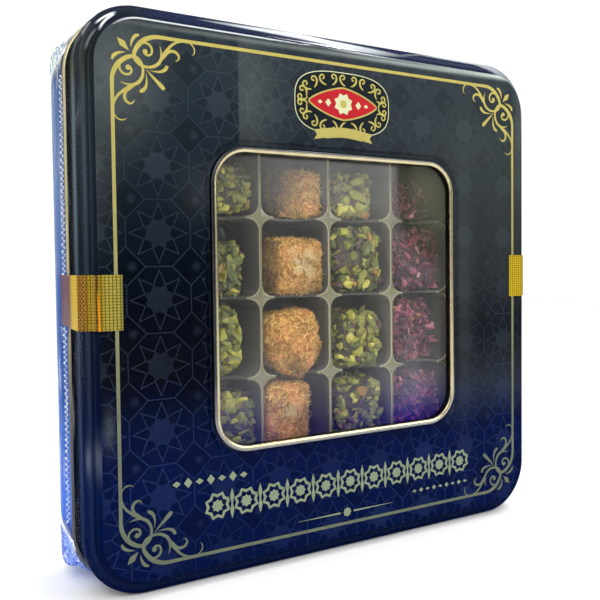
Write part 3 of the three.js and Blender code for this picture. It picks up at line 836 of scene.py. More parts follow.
class Cube:
    """Rounded block, from its box, with its own axes: x and y in the front plane, z to the front."""

    def __init__(self, column, row):
        self.name = f"delight_cube_r{row + 1}c{column + 1}"
        self.coating = COATINGS[column]
        self.shown = (column, row) in SHOWN_CUBES
        self.pocket = pocket_centre(column, row)
        self.rng = np.random.default_rng(100 + column * COLUMNS + row)
        if self.shown:
            left, right, bottom, top, turn, sink = SHOWN_CUBES[column, row]
            front = CUBE_FRONT + sink
            back = front + CUBE_DEPTH
        else:
            low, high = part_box(self.name)
            left, right = low.x * 1000, high.x * 1000
            bottom, top = low.z * 1000 - TIN_HALF, high.z * 1000 - TIN_HALF
            front, back = low.y * 1000 - FACE_Y, high.y * 1000 - FACE_Y
            turn = 0
        self.middle = np.array([(left + right) / 2, (bottom + top) / 2, (front + back) / 2])
        self.size = np.array([right - left, top - bottom, back - front]) / 2
        self.turn = math.radians(turn)
        self.bare = BARE_PATCHES.get((column, row))
        self.left_shade = LEFT_SHADES.get((column, row), 1.0)
        self.slope = LIGHT_SLOPES.get((column, row), (-0.18, 0.24))
        self.point = POINTS.get((column, row), 0.0)
        self.power = ROUNDER.get((column, row), SQUARENESS[self.coating])

    def to_front(self, local):
        """The cube's own axes to the front frame."""
        c, s = math.cos(self.turn), math.sin(self.turn)
        across, up = local[..., 0], local[..., 1]
        if self.point:
            low = np.clip(-up / self.size[1], 0, 1)
            up = up - self.point * low * (1 - 2 * np.clip(np.abs(across) / self.size[0], 0, 1))
        x = across * c - up * s + self.middle[0]
        y = across * s + up * c + self.middle[1]
        return np.stack([x, y, self.middle[2] - local[..., 2]], -1)

    def surface(self, box_points, shrink):
        """Points on the box of half size 1 to the rounded block: (points, normals)."""
        size = self.size - shrink
        reach = (np.abs(box_points) ** self.power).sum(-1, keepdims=True) ** (-1 / self.power)
        on = box_points * reach
        normal = np.sign(on) * np.abs(on) ** (self.power - 1) / size
        normal /= np.linalg.norm(normal, axis=-1, keepdims=True)
        return on * size, normal

    def scatter(self, count, shrink, cover):
        """Random points on the surface. `cover` is the share of each side: x, y, front and back."""
        sx, sy, sz = self.size
        areas = np.array([sy * sz, sy * sz, sx * sz, sx * sz, sx * sy, sx * sy]) * cover
        side = self.rng.choice(6, count, p=areas / areas.sum())
        p = self.rng.uniform(-1, 1, (count, 3))
        axis = side // 2
        p[np.arange(count), axis] = np.where(side % 2 == 0, 1.0, -1.0)
        return self.surface(p, shrink)

    def off_bare(self, points):
        """Distance from the middle of the bare patch, in its radii."""
        x, y, radius = self.bare
        return np.hypot(points[:, 0] - x, points[:, 1] - y) / radius

    def keep_in_pocket(self, points):
        """Points of the front frame, pushed off the pocket's walls and floor."""
        p = points.copy()
        p[..., 2] = np.minimum(p[..., 2], POCKET_FLOOR - 0.1)
        half = POCKET_HALF - 0.12 - pocket_wall(np.maximum(p[..., 2], POCKET_TOP))
        d = p[..., :2] - self.pocket
        inside = p[..., 2] > POCKET_TOP - 0.5 + dip_depth(d)
        sign = np.sign(d)
        d = np.abs(d)
        inner = (half - POCKET_RADIUS)[..., None]
        over = np.maximum(d - inner, 0)
        length = np.linalg.norm(over, axis=-1, keepdims=True)
        pull = np.minimum(1, POCKET_RADIUS / np.maximum(length, 1e-6))
        d = np.where(over > 0, inner + over * pull, d)
        moved = d * sign + self.pocket
        p[..., :2] = np.where(inside[..., None], moved, p[..., :2])
        return p


def block_grid(n):
    """Cube surface of n by n quads a side, welded: (points on the box of half size 1, faces)."""
    index, points, faces = {}, [], []
    t = np.linspace(-1, 1, n + 1)

    def at(p):
        key = tuple(round(v, 5) for v in p)
        if key not in index:
            index[key] = len(points)
            points.append(key)
        return index[key]

    for axis in range(3):
        for sign in (-1, 1):
            for i in range(n):
                for j in range(n):
                    quad = []
                    for a, b in ((i, j), (i + 1, j), (i + 1, j + 1), (i, j + 1)):
                        p = [0, 0, 0]
                        p[axis] = sign
                        p[(axis + 1) % 3] = t[a]
                        p[(axis + 2) % 3] = t[b]
                        quad.append(at(p))
                    faces.append(quad if sign > 0 else quad[::-1])
    return np.array(points, float), faces


def lumps(points, seed, scale, amount):
    """Smooth seeded unevenness along each point's own direction, from a sum of waves."""
    rng = np.random.default_rng(seed)
    total = np.zeros(len(points))
    for _ in range(10):
        wave = rng.normal(size=3) / scale
        total += np.sin(points @ wave + rng.uniform(0, 6.28))
    return total * amount / 3


def make_cores(cubes, materials):
    box_points, faces = block_grid(14)
    for number, cube in enumerate(cubes):
        points, normals = cube.surface(box_points, SINK[cube.coating])
        bare = np.zeros(len(points))
        if cube.bare:
            away = cube.off_bare(points) + lumps(points, number, 1.6, 0.5)
            bare = np.clip(1.6 - away, 0, 1) * (points[:, 2] > 0)
        points = points + normals * lumps(points, number, 3.0, 0.5)[:, None]
        mesh_piece(
            cube.name.replace("delight_cube", "core"),
            cube.keep_in_pocket(cube.to_front(points)),
            faces,
            materials[cube.coating],
            [cube.name],
            0,
            grey_tones(bare),
        )


def rotations(normals, spin, tilt, rng):
    """Frames with z along each normal, leaned at random by up to tilt and spun about it."""
    n = normals + rng.normal(size=normals.shape) * tilt
    n /= np.linalg.norm(n, axis=1, keepdims=True)
    helper = np.where(np.abs(n[:, :1]) < 0.8, [[1.0, 0, 0]], [[0, 1.0, 0]])
    u = np.cross(helper, n)
    u /= np.linalg.norm(u, axis=1, keepdims=True)
    v = np.cross(n, u)
    c, s = np.cos(spin)[:, None], np.sin(spin)[:, None]
    return np.stack([u * c + v * s, v * c - u * s, n], axis=2)


def scattered(cube, local, faces, frames, spots):
    """Shapes about their own middles, put in the front frame: (points, faces)."""
    turned = np.einsum("nij,nvj->nvi", frames, local) + spots[:, None, :]
    points = cube.keep_in_pocket(cube.to_front(turned)).reshape(-1, 3)
    offsets = np.arange(len(spots)) * local.shape[1]
    return points, (faces[None] + offsets[:, None, None]).reshape(-1, faces.shape[1])


def join_bits(name, bits, colours, slot, material, sharp):
    points, faces, start = [], [], 0
    for p, f in bits:
        points.append(p)
        faces.append(f + start)
        start += len(p)
    faces = np.concatenate(faces).tolist()
    colours = np.concatenate(colours)
    mesh_piece(name, np.concatenate(points), faces, material, (), sharp, colours)


def chips(cubes, shapes, faces, counts, shrink, sizes, spread, tilt, palette):
    """Copies of shapes over cubes, so many on a cube that shows and so many on a hidden one.

    `sizes` holds the least and greatest size, and the shares of it that a chip has each way;
    `spread` is how far those shares vary.
    """
    low, high, shares = sizes
    bits, colours = [], []
    for cube in cubes:
        count = counts[0] if cube.shown else counts[1]
        spots, normals = cube.scatter(count, shrink, SCATTER_COVER)
        base = cube.rng.uniform(low, high, (count, 1))
        sized = base * np.array(shares) * cube.rng.uniform(*spread, (count, 3))
        frames = rotations(normals, cube.rng.uniform(0, 6.28, count), tilt, cube.rng)
        local = shapes[cube.rng.integers(0, len(shapes), count)] * sized[:, None, :]
        bits.append(scattered(cube, local, faces, frames, spots))
        colours.append(bit_colours(cube.rng, palette, count, shapes.shape[1]))
    return bits, colours


def nut_shapes(rng, count):
    """Chopped kernels: a ball of one size cut by random planes."""
    work = bmesh.new()
    bmesh.ops.create_icosphere(work, subdivisions=2, radius=1)
    ball = np.array([v.co for v in work.verts])
    faces = np.array([[v.index for v in f.verts] for f in work.faces])
    work.free()
    shapes = []
    for _ in range(count):
        p = ball.copy()
        for _ in range(8):
            n = rng.normal(size=3)
            n /= np.linalg.norm(n)
            over = np.maximum(p @ n - rng.uniform(0.3, 0.75), 0)
            p -= over[:, None] * n
        shapes.append(p / np.abs(p).max(0))
    return np.array(shapes), faces


def bit_colours(rng, palette, count, corners):
    """One tone for each piece, repeated at its corners."""
    weights = np.array([w for w, _ in palette])
    tones = np.array([c for _, c in palette])
    pick = rng.choice(len(palette), count, p=weights / weights.sum())
    tones = np.clip(tones[pick] * rng.uniform(0.7, 1.3, (count, 1)), 0, 1)
    return np.repeat(np.column_stack([tones, np.ones(count)]), corners, axis=0)


PISTACHIO_TONES = shown_rows(
    (5.5, 108, 110, 42), (3.2, 136, 134, 48), (1.0, 172, 164, 72), (4, 76, 84, 36), (1.6, 70, 48, 50),
    (0.5, 134, 100, 44),
)


def make_pistachio(cubes, material):
    shapes, faces = nut_shapes(np.random.default_rng(7), 12)
    sizes = (0.9, 2.6, (1.35, 0.8, 0.68))
    made = chips(cubes, shapes, faces, (255, 35), 0.95, sizes, (0.7, 1.35), 0.45, PISTACHIO_TONES)
    join_bits("pistachio_bits", *made, "pistachio_coating", material, 18)


SHRED_TONES = shown_rows((5, 190, 146, 70), (4, 210, 172, 94), (2, 230, 200, 128), (3, 140, 88, 36))


def make_shreds(cubes, material):
    """Short bent fibres with three sides, in two lengths from end to middle to end."""
    rng = np.random.default_rng(11)
    kinds = 12
    bends = rng.uniform(-0.45, 0.45, (kinds, 2))
    faces = []
    for r in range(2):
        for i in range(3):
            j = (i + 1) % 3
            faces.append([r * 3 + i, r * 3 + j, r * 3 + 3 + j, r * 3 + 3 + i])
    faces = np.array(faces)
    bits, colours = [], []
    for cube in cubes:
        count = 3100 if cube.shown else 480
        spots, normals = cube.scatter(count, 0.35, SCATTER_COVER)
        if cube.bare:
            away = cube.off_bare(spots) + lumps(spots, 5, 1.4, 0.45)
            keep = (spots[:, 2] < 0) | (away > cube.rng.uniform(-0.2, 1.4, count))
            spots, normals = spots[keep], normals[keep]
            count = len(spots)
        clump = np.clip(lumps(spots, cube.rng.integers(1000), 0.9, 1.0), -1.5, 1.5)
        spots = spots + normals * (0.3 * clump)[:, None]
        length = cube.rng.uniform(1.6, 4.6, count)
        width = cube.rng.uniform(0.10, 0.19, count)
        tilt = np.where(cube.rng.uniform(size=(count, 1)) < 0.2, 0.95, 0.5)
        frames = rotations(normals, cube.rng.uniform(0, 6.28, count), tilt, cube.rng)
        kind = cube.rng.integers(0, kinds, count)
        local = np.zeros((count, 9, 3))
        for r, t in enumerate((-0.5, 0.0, 0.5)):
            arch = (0.25 - t * t) * length
            for i, a in enumerate((0, 2.09, 4.19)):
                thick = width * (1.0 if r == 1 else 0.6)
                local[:, r * 3 + i, 0] = t * length
                local[:, r * 3 + i, 1] = bends[kind, 0] * arch * 2 + thick * math.cos(a)
                local[:, r * 3 + i, 2] = bends[kind, 1] * arch + thick * math.sin(a)
        bits.append(scattered(cube, local, faces, frames, spots))
        tones = bit_colours(cube.rng, SHRED_TONES, count, 9)
        # Painted light and shade: tone changes across and up the cube, darker in the hollows between
        # clumps and on a left side in shadow.
        slope = 1.0 + cube.slope[0] * spots[:, 0] / cube.size[0]
        slope += cube.slope[1] * spots[:, 1] / cube.size[1]
        slope += 0.16 * clump
        slope *= np.where(normals[:, 0] < -0.6, cube.left_shade, 1.0)
        slope = np.clip(slope, 0.2, 1.5)[:, None]
        tones[:, :3] *= np.repeat(slope ** (1.05, 1.0, 0.85), 9, axis=0)
        colours.append(np.clip(tones, 0, 1))
    join_bits("golden_shreds", bits, colours, "shreds_coating", material, 0)


PETAL_TONES = shown_rows(
    (4, 128, 58, 80), (2, 158, 82, 102), (5, 82, 42, 60), (0.8, 188, 130, 134), (1.6, 80, 54, 84),
    (0.4, 160, 116, 84),
)


def make_petals(cubes, material):
    """Crumbled petals: small curled sheets of four by four points."""
    rng = np.random.default_rng(13)
    side = np.linspace(-1, 1, 4)
    u, v = (grid.ravel() for grid in np.meshgrid(side, side, indexing="ij"))
    shapes = []
    for _ in range(14):
        curl = rng.uniform(-0.9, 0.9, 3)
        wobble = rng.normal(size=(3, u.size)) * 0.13
        x = u * (1 - 0.25 * v * v)
        y = v * (1 - 0.35 * u * u)
        z = curl[0] * u * u + curl[1] * v * v + curl[2] * u * v
        shapes.append((np.stack([x, y, z]) + wobble).T)
    corners = [i * 4 + j for i in range(3) for j in range(3)]
    faces = np.array([[a, a + 4, a + 5, a + 1] for a in corners])
    sizes = (0.9, 2.5, (1.2, 0.6, 0.8))
    looks = ((520, 160), 0.6, sizes, (0.7, 1.3), 0.6, PETAL_TONES)
    made = chips(cubes, np.array(shapes), faces, *looks)
    join_bits("rose_petals", *made, "petals_coating", material, 0)


def bits_material(name, rough, spread, scale, bump):
    """Coating pieces, each with its own tone, mottled by noise."""
    g = Graph(name)
    shade = g.mix(g.noise(scale, 3.0), (1 - spread,) * 3, (1 + spread,) * 3)
    colour = g.product(g.tone(), shade)
    normal = g.bump(g.noise(scale * 2, 2.0), 0.5, bump)
    return g.surface(Base_Color=colour, Roughness=rough, Normal=normal)


def core_material(name, dark, light, scale, rough):
    """The delight under a coating: its ground tone, and paler where the tone says it is bare."""
    g = Graph(name)
    colour = g.mix(g.step(g.noise(scale, 4.0), 0.35, 0.65), dark, light)
    colour = g.mix(g.tone(), colour, shown(182, 162, 118))
    normal = g.bump(g.noise(scale * 2.5, 3.0), 0.8, 0.0006)
    return g.surface(Base_Color=colour, Roughness=rough, Normal=normal)


def make_cubes():
    cubes = [Cube(c, r) for c in range(COLUMNS) for r in range(COLUMNS)]
    # The pistachio ground is kept dark, partly as painted shade in the gaps between the chips.
    grounds = {
        "pistachio": ("pistachio ground", shown(36, 30, 28), shown(76, 66, 46), 700, 0.6),
        "shreds": ("toasted ground", shown(168, 104, 50), shown(214, 158, 96), 900, 0.8),
        "petals": ("petal ground", shown(52, 22, 38), shown(96, 40, 64), 700, 0.6),
    }
    make_cores(cubes, {kind: core_material(*looks) for kind, looks in grounds.items()})
    kind = {k: [c for c in cubes if c.coating == k] for k in SINK}
    make_pistachio(kind["pistachio"], bits_material("chopped pistachio", 0.5, 0.35, 600, 0.0004))
    make_shreds(kind["shreds"], bits_material("golden shreds", 0.65, 0.15, 500, 0.0001))
    make_petals(kind["petals"], bits_material("dried petals", 0.38, 0.35, 500, 0.0003))


# ---------------------------------------------------------------- gold line work
# Strokes of one corner: x and y in from the frame's corner, and half width. Each is mirrored
# across the diagonal and into the four corners.
CORNER_STROKES = [
    [(30, 0, 0.6), (20, 0, 0.6), (15, 0.05, 0.66), (12.2, 0.86, 0.75), (10.2, 2.1, 0.78),
     (8.6, 3.9, 0.75), (7.6, 5.8, 0.66), (7.5, 7.5, 0.6), (8.4, 9.1, 0.52), (10, 10.05, 0.45),
     (12.2, 10.3, 0.45), (14.2, 9.75, 0.52), (15.8, 8.5, 0.55), (16.6, 6.7, 0.42),
     (16.6, 4.7, 0.26), (16.15, 2.8, 0.08)],
    [(8.9, 3.6, 0.3), (9.8, 2.85, 0.36), (11.1, 2.45, 0.36), (12.6, 2.95, 0.38),
     (13.45, 4.3, 0.38), (13.2, 5.8, 0.38), (12.2, 6.45, 0.38), (11.2, 6.15, 0.4),
     (10.85, 5.5, 0.45)],
    [(15.4, 8.8, 0.2), (16.4, 7.6, 0.45), (17.5, 5.6, 0.6), (18.9, 3.6, 0.5), (20.4, 1.95, 0.42),
     (22.3, 0.75, 0.38), (24.5, 0.2, 0.3)],
    [(17.2, 7.0, 0.2), (17.9, 5.9, 0.4), (18.8, 4.7, 0.5), (20.3, 4.0, 0.5), (21.9, 4.35, 0.48),
     (22.75, 5.5, 0.4), (22.5, 6.6, 0.25), (21.5, 7.3, 0.07)],
    [(25.2, 0.3, 0.1), (26.4, 0.45, 0.16), (27.5, 1.0, 0.22), (28.3, 2.2, 0.24),
     (28.3, 3.6, 0.18), (27.6, 4.6, 0.05)],
    [(12.6, 11.3, 0.06), (14.4, 11.5, 0.22), (16.3, 11.3, 0.42), (17.7, 10.6, 0.58),
     (18.5, 9.5, 0.55), (18.75, 9.1, 0.2)],
    [(6.4, 4.4, 0.08), (6.55, 3.1, 0.3), (7.1, 1.7, 0.5), (8.0, 0.6, 0.55), (9.2, 0.1, 0.3)],
]
DIAGONAL_STROKE = [
    (11.0, 11.3, 0.05), (12.6, 12.8, 0.3), (14.5, 14.8, 0.55), (16.3, 16.7, 0.72), (17.1, 17.5, 0.5),
]
DIAMOND = [(1.9, 1.9), (4.35, 2.75), (5.75, 5.75), (2.75, 4.35)]
SPIRAL_END = (11.15, 5.35, 0.85)
BADGE_Y = 73.6
BAND_Y = -72.3
BAND_START = -54.2
BAND_PITCH = 11.15
BAND_STARS = 11
RULE_Y = -84.2


class Drawing:
    """Flat figures on the lid's face, each lifted a hair more than the last."""

    def __init__(self, lift):
        self.points, self.faces, self.lift = [], [], lift

    def add(self, points, faces):
        self.lift += 0.0006
        start = len(self.points)
        self.points += [(x, y, -self.lift) for x, y in points]
        self.faces += [[i + start for i in f] for f in faces]

    def stroke(self, line, to_face, steps=6):
        curve = smooth_line(line, steps)
        middle = np.array([to_face(x, y) for x, y in curve[:, :2]])
        along = np.gradient(middle, axis=0)
        along /= np.linalg.norm(along, axis=1, keepdims=True)
        side = np.stack([-along[:, 1], along[:, 0]], 1) * np.maximum(curve[:, 2:], 0.03)
        left, right = middle + side, middle - side
        count = len(curve)
        faces = [[i, i + count, i + count + 1, i + 1] for i in range(count - 1)]
        self.add([*left, *right], faces)

    def polygon(self, corners, to_face):
        points = [to_face(x, y) for x, y in corners]
        self.add(points, [list(range(len(points)))])

    def disc(self, x, y, radius, to_face, sides=20):
        turns = [2 * math.pi * k / sides for k in range(sides)]
        self.polygon([(x + radius * math.cos(a), y + radius * math.sin(a)) for a in turns], to_face)

    def piece(self, name, material):
        made = mesh_piece(name, self.points, self.faces, material, (), 0)
        work = bmesh.new()
        work.from_mesh(made.data)
        work.faces.ensure_lookup_table()
        for face in work.faces:
            face.normal_update()
            if face.normal.y > 0:
                face.normal_flip()
        work.to_mesh(made.data)
        work.free()


def draw_frame(ink):
    for sx in (-1, 1):
        for sy in (-1, 1):
            for swap in (False, True):

                def to_face(x, y, sx=sx, sy=sy, swap=swap):
                    if swap:
                        x, y = y, x
                    return sx * (GOLD_HALF - x), sy * (GOLD_HALF - y)

                for line in CORNER_STROKES:
                    ink.stroke(line, to_face)
                ink.disc(*SPIRAL_END, to_face)
            ink.stroke(DIAGONAL_STROKE, to_face)
            ink.polygon(DIAMOND, to_face)
    reach = GOLD_HALF - 29.5
    for sign in (-1, 1):
        ends = [(-reach, sign * GOLD_HALF, GOLD_LINE), (reach, sign * GOLD_HALF, GOLD_LINE)]
        ink.stroke(ends, same, 2)
        ink.stroke(ends, lambda x, y: (y, x), 2)


def star_points(x, y, radius, inner=0.7654, corners=8, turn=0.0):
    """Star with its tips at radius. The inner share is that of two crossed squares."""
    points = []
    for k in range(2 * corners):
        a = turn + math.pi * k / corners
        r = radius * (1 if k % 2 == 0 else inner)
        points.append((x + r * math.cos(a), y + r * math.sin(a)))
    return points


def lozenge(x, y, width, height):
    return [(x - width / 2, y), (x, y - height / 2), (x + width / 2, y), (x, y + height / 2)]


def on_oval(a, half_width, half_height, power):
    """Point of a squared oval, in the direction of the angle a."""
    c, s = math.cos(a), math.sin(a)
    r = (abs(c) ** power + abs(s) ** power) ** (-1 / power)
    return half_width * r * c, half_height * r * s


def oval(half_width, half_height, power, middle, count=64):
    turns = [2 * math.pi * k / count for k in range(count)]
    points = [on_oval(a, half_width, half_height, power) for a in turns]
    return [(x, middle + y) for x, y in points]


BADGE_CURL = [
    (-0.9, -2.3, 0.16), (0.5, -1.5, 0.36), (1.5, 0.0, 0.4), (1.3, 1.5, 0.34), (0.1, 2.0, 0.3),
    (-0.7, 1.2, 0.26), (-0.2, 0.4, 0.3), (0.3, 0.6, 0.36),
]


def draw_badge(gold, pale, red, dark):
    """Plain cartouche with a star, in a ring of curls, over a bare ribbon."""
    middle = BADGE_Y
    dark.polygon(oval(21, 11.6, 3.0, middle), same)
    edge = oval(21.2, 11.8, 3.0, middle)
    pale.stroke([(x, y, 0.16) for x, y in [*edge, edge[0]]], same, 1)
    tips = oval(15.4, 6.1, 1.35, middle)
    red.polygon(tips, same)
    gold.stroke([(x, y, 0.3) for x, y in [*tips, tips[0]]], same, 1)
    pale.polygon(star_points(0, middle, 4.3, turn=math.pi / 8), same)
    gold.disc(0, middle, 1.5, same)
    for side in (-1, 1):
        pale.polygon(lozenge(side * 6.8, middle, 2.6, 3.2), same)
        pale.polygon(lozenge(side * 10.4, middle, 2.2, 1.5), same)
    for k in range(26):
        a = 2 * math.pi * (k + 0.5) / 26
        at = on_oval(a, 18.1, 9.0, 2.6)
        turn = math.atan2(math.sin(a) * 18.0, math.cos(a) * 9.1) - math.pi / 2
        mirror = 1 if k % 2 else -1

        def to_face(x, y, at=at, turn=turn, mirror=mirror):
            x *= mirror
            c, s = math.cos(turn), math.sin(turn)
            size = 0.92
            return at[0] + size * (x * c - y * s), middle + at[1] + size * (x * s + y * c)

        gold.stroke(BADGE_CURL, to_face, 3)
    low = middle - 10.8
    for side in (-1, 1):
        tail = [(6.5, 1.2), (13.4, 0.2), (11.9, -1.5), (13.2, -3.4), (6.5, -2.2)]
        gold.polygon([(side * x, low + y) for x, y in tail], same)
    arch = [(-8.6, low - 0.9, 1.9), (0, low - 0.1, 1.9), (8.6, low - 0.9, 1.9)]
    gold.stroke(arch, same, 8)


def draw_band(pale):
    """Row of stars and leaves where the lettering was, with two short rows and a low line."""
    leaf = [(0, 5.4, 0.04), (0, 2.6, 0.75), (0, 0, 0.3), (0, -2.6, 0.75), (0, -5.4, 0.04)]
    for k in range(BAND_STARS):
        x = BAND_START + k * BAND_PITCH
        star = star_points(x, BAND_Y, 4.6, turn=math.pi / 8)
        pale.stroke([(a, b, 0.55) for a, b in [*star, star[0]]], same, 1)
        pale.polygon(star_points(x, BAND_Y, 2.3), same)
        if k:
            pale.stroke([(x - BAND_PITCH / 2 + a, BAND_Y + b, w) for a, b, w in leaf], same, 5)
    for k in range(7):
        pale.polygon(lozenge(-69.2 + k * 4.2, -62.4 - 0.05 * k, 3.0, 3.6 if k % 2 else 2.2), same)
    for k in range(9):
        pale.polygon(lozenge(33.0 + k * 3.4, -81.4, 2.2, 2.0 if k % 2 else 1.2), same)
    pale.stroke([(-22, RULE_Y, 0.05), (-3, RULE_Y, 0.35)], same, 4)
    pale.stroke([(3, RULE_Y, 0.35), (22, RULE_Y, 0.05)], same, 4)
    pale.polygon(star_points(0, RULE_Y, 1.9), same)


def print_gold_material(name, low, high):
    """Flat ink that is lighter towards the top of the lid."""
    g = Graph(name)
    _, _, z = g.xyz()
    colour = g.mix(g.step(z, 0.04, 0.2), low, high)
    worn = g.mix(g.noise(220.0, 2.0), (0.8, 0.8, 0.8), (1.1, 1.1, 1.1))
    colour = g.product(colour, worn)
    return g.surface(Base_Color=colour, Roughness=0.4, Specular_IOR_Level=0.06)


# ---------------------------------------------------------------- tape, window and wrap
def off_tape(x, z):
    """0 over the heights of the side that its seal tape covers, and 1 elsewhere."""
    middle = (x > 0.0) * (TAPE_RIGHT_HEIGHT - TAPE_LEFT_HEIGHT) + (TIN_HALF + TAPE_LEFT_HEIGHT)
    return abs(z - middle * 0.001) > TAPE_HEIGHT * 0.0005


# The tape's smooth band on the side, in millimetres along the tape's path.
SMOOTH_START = 104.5
SMOOTH_END = 117.0


def tape_material():
    """Gold holographic tape: bands of colour along its path from the face round the side, partly
    painted reflections of its bends, under a fine grid.
    """
    g = Graph("gold grid tape")
    x, y, z = g.xyz()
    path = (abs(x) + (y - at_y(0))) * 1000.0
    stops = shown_rows(
        (86.0, 98, 98, 58), (87.0, 136, 130, 56), (91.8, 144, 134, 58), (92.7, 130, 114, 34),
        (94.3, 138, 110, 28), (95.4, 104, 80, 26), (96.2, 122, 100, 40), (97.2, 160, 138, 50),
        (99.5, 154, 130, 42), (101.6, 124, 88, 32), (103.6, 110, 74, 28), (104.8, 150, 116, 24),
        (106.5, 188, 156, 14), (113.0, 182, 150, 16), (117.0, 132, 100, 60), (119.0, 116, 82, 82),
        (138.0, 102, 76, 102),
    )
    colour = g.mix(g.step(x, 0.0, 0.01), g.long_ramp(path, stops), shown(176, 152, 30))

    def lines(value, pitch, width):
        return 1.0 - g.step(abs(value / pitch % 1.0 - 0.5), width, width + 0.12)

    rows = lines(z * 1000.0, 1.0, 0.09) * g.step(g.noise(900.0), 0.3, 0.44)
    grid = g.larger(rows, lines(path, 1.25, 0.11)) * 0.75
    # The side's smooth band has next to none of the grid.
    smooth = g.step(path, SMOOTH_START, SMOOTH_START + 1.5) * g.step(path, SMOOTH_END, SMOOTH_END - 2)
    ink = g.mix(g.step(path, SMOOTH_END, SMOOTH_END + 2), shown(60, 40, 14), shown(52, 14, 34))
    colour = g.mix(grid * (1.0 - smooth * 0.8), colour, ink)
    # A painted glint, and the painted shade of the dark crease beside it, wander down the fold, and
    # change over half way.
    fold = path + (g.noise(150.0, 1.0) - 0.5) * 2.2
    lower = g.step(z, at_z(TAPE_LEFT_HEIGHT + 5), at_z(TAPE_LEFT_HEIGHT))
    left = g.step(x, 0.0, -0.01)
    glint = near(g, fold, 94.0, 0.6) * (lower * left) * (1.0 - rows * 0.6)
    colour = g.mix(glint * 0.75, colour, shown(206, 128, 12))
    crease = near(g, fold, 95.2, 0.7) * left * g.step(g.noise(700.0, 1.0), 0.36, 0.52)
    colour = g.mix(crease * 0.8, colour, shown(30, 16, 10))
    # Where the tape bends, the weave shows as dark and pale dots.
    bends = near(g, path, 96.2, 0.8) + near(g, path, 102.6, 1.8)
    across = g.math("SINE", path * (2 * math.pi / 1.3))
    weave = g.math("SINE", z * (2000 * math.pi / 1.5)) * across * bends
    weave = weave * g.step(g.noise(700.0, 2.0), 0.25, 0.6)
    colour = g.mix(g.step(weave, 0.0, 0.7) * 0.85, colour, shown(52, 22, 14))
    colour = g.mix(g.step(weave, 0.0, -0.8) * 0.7, colour, shown(176, 140, 70))
    rough = 0.3 + g.step(g.noise(80.0, 2.0), 0.2, 0.8) * 0.12
    return g.surface(Base_Color=colour, Roughness=rough, Specular_IOR_Level=0.07)


def sheet_material():
    """Clear sheet with a faint sheen, stronger at a glance; towards the upper right and along the top
    row a painted milky reflection, and low down a painted blue reflection, both broken by smudges.
    """
    g = Graph("clear window sheet")
    x, _, z = g.xyz()
    # Painted reflections: pale haze to the upper right and over the top row, blue low down.
    low = g.step(z, 0.086, 0.046)
    top_row = g.step(z, 0.125, 0.15) * 0.14
    hazy = g.larger(g.step(x, 0.02, 0.046) * g.step(z, 0.1, 0.148), top_row)
    pale = g.mix(g.step(hazy, 0.0, 0.14), (0.55, 0.6, 0.5), shown(96, 98, 84))
    milk = g.mix(low, pale, shown(50, 48, 168))
    smudge = g.step(g.noise(26.0, 3.0, (1, 1, 0.5)), 0.25, 0.75)
    # Smudges over the upper right and low down, which also break up the painted reflections there.
    smudge_and_sheen = g.step(x + z, 0.06, 0.2) * (smudge * 0.6)
    smudge_and_sheen = g.larger(smudge_and_sheen, low * smudge * 1.5)
    fresnel = g.smaller(g.value("ShaderNodeFresnel", {"IOR": 1.3}), 0.07)
    amount = fresnel * 0.5 + smudge_and_sheen * 0.1 + hazy * (0.27 + smudge * 0.14) + 0.008
    share = 0.35 + g.larger(low, g.step(hazy, 0.0, 0.3)) * 0.65
    return g.veil(0.3, milk, share, amount)


def wrap_material():
    """Crinkled clear wrap: painted white glints on its creases and a painted white highlight along the
    top edge, milky tufts coloured by painted reflection, and next to nothing between them.
    """
    g = Graph("crinkled clear wrap")
    x, y, z = g.xyz()
    crease, edge, tuft = g.parts("ShaderNodeSeparateColor", g.tone())
    # Painted reflection in the gathered film: bluer low down, paler higher up, with painted glints.
    folds = g.step(g.noise(520.0, 3.0, None, 1.0), 0.36, 0.56)
    high = g.step(z, 0.06, 0.16)
    deep = g.mix(high, shown(68, 98, 196), shown(112, 128, 172))
    gathered = g.mix(folds, deep, g.mix(high, shown(132, 158, 226), shown(212, 224, 208)))
    glints = g.step(g.noise(800.0, 2.0), 0.6, 0.68)
    gathered = g.mix(glints, gathered, shown(232, 238, 240))
    milk = g.mix(tuft, (0.82, 0.87, 0.95), gathered)
    level = abs(z - at_z(0)) > abs(x)
    upright = g.noise(330.0, 3.0, (1, 2.5, 0.12), 0.6)
    along = g.noise(330.0, 3.0, (0.12, 2.5, 1), 0.6)
    streak = g.step(g.mix(level, upright, along), 0.5, 0.64)
    white = crease * (streak * 0.9 + 0.06) * off_tape(x, z) + edge * 0.7 + tuft * 0.92
    sheen = g.smaller(g.value("ShaderNodeFresnel", {"IOR": 1.2}) * 0.3, 0.01)
    sheen = sheen * (y > at_y(-0.5)) * (0.1 + high * 0.7)
    return g.veil(0.16, milk, g.larger(0.7, tuft), g.smaller(sheen + white, 0.94))


def seam_material():
    g = Graph("welded wrap seam")
    x, _, z = g.xyz()
    # The weld's broken white: partly its own milky puckers, partly painted glints.
    broken = g.step(g.noise(500.0, 3.0), 0.36, 0.56)
    amount = broken * 0.75 + 0.12
    return g.veil(0.2, (0.84, 0.88, 0.9), 0.6, amount * off_tape(x, z))


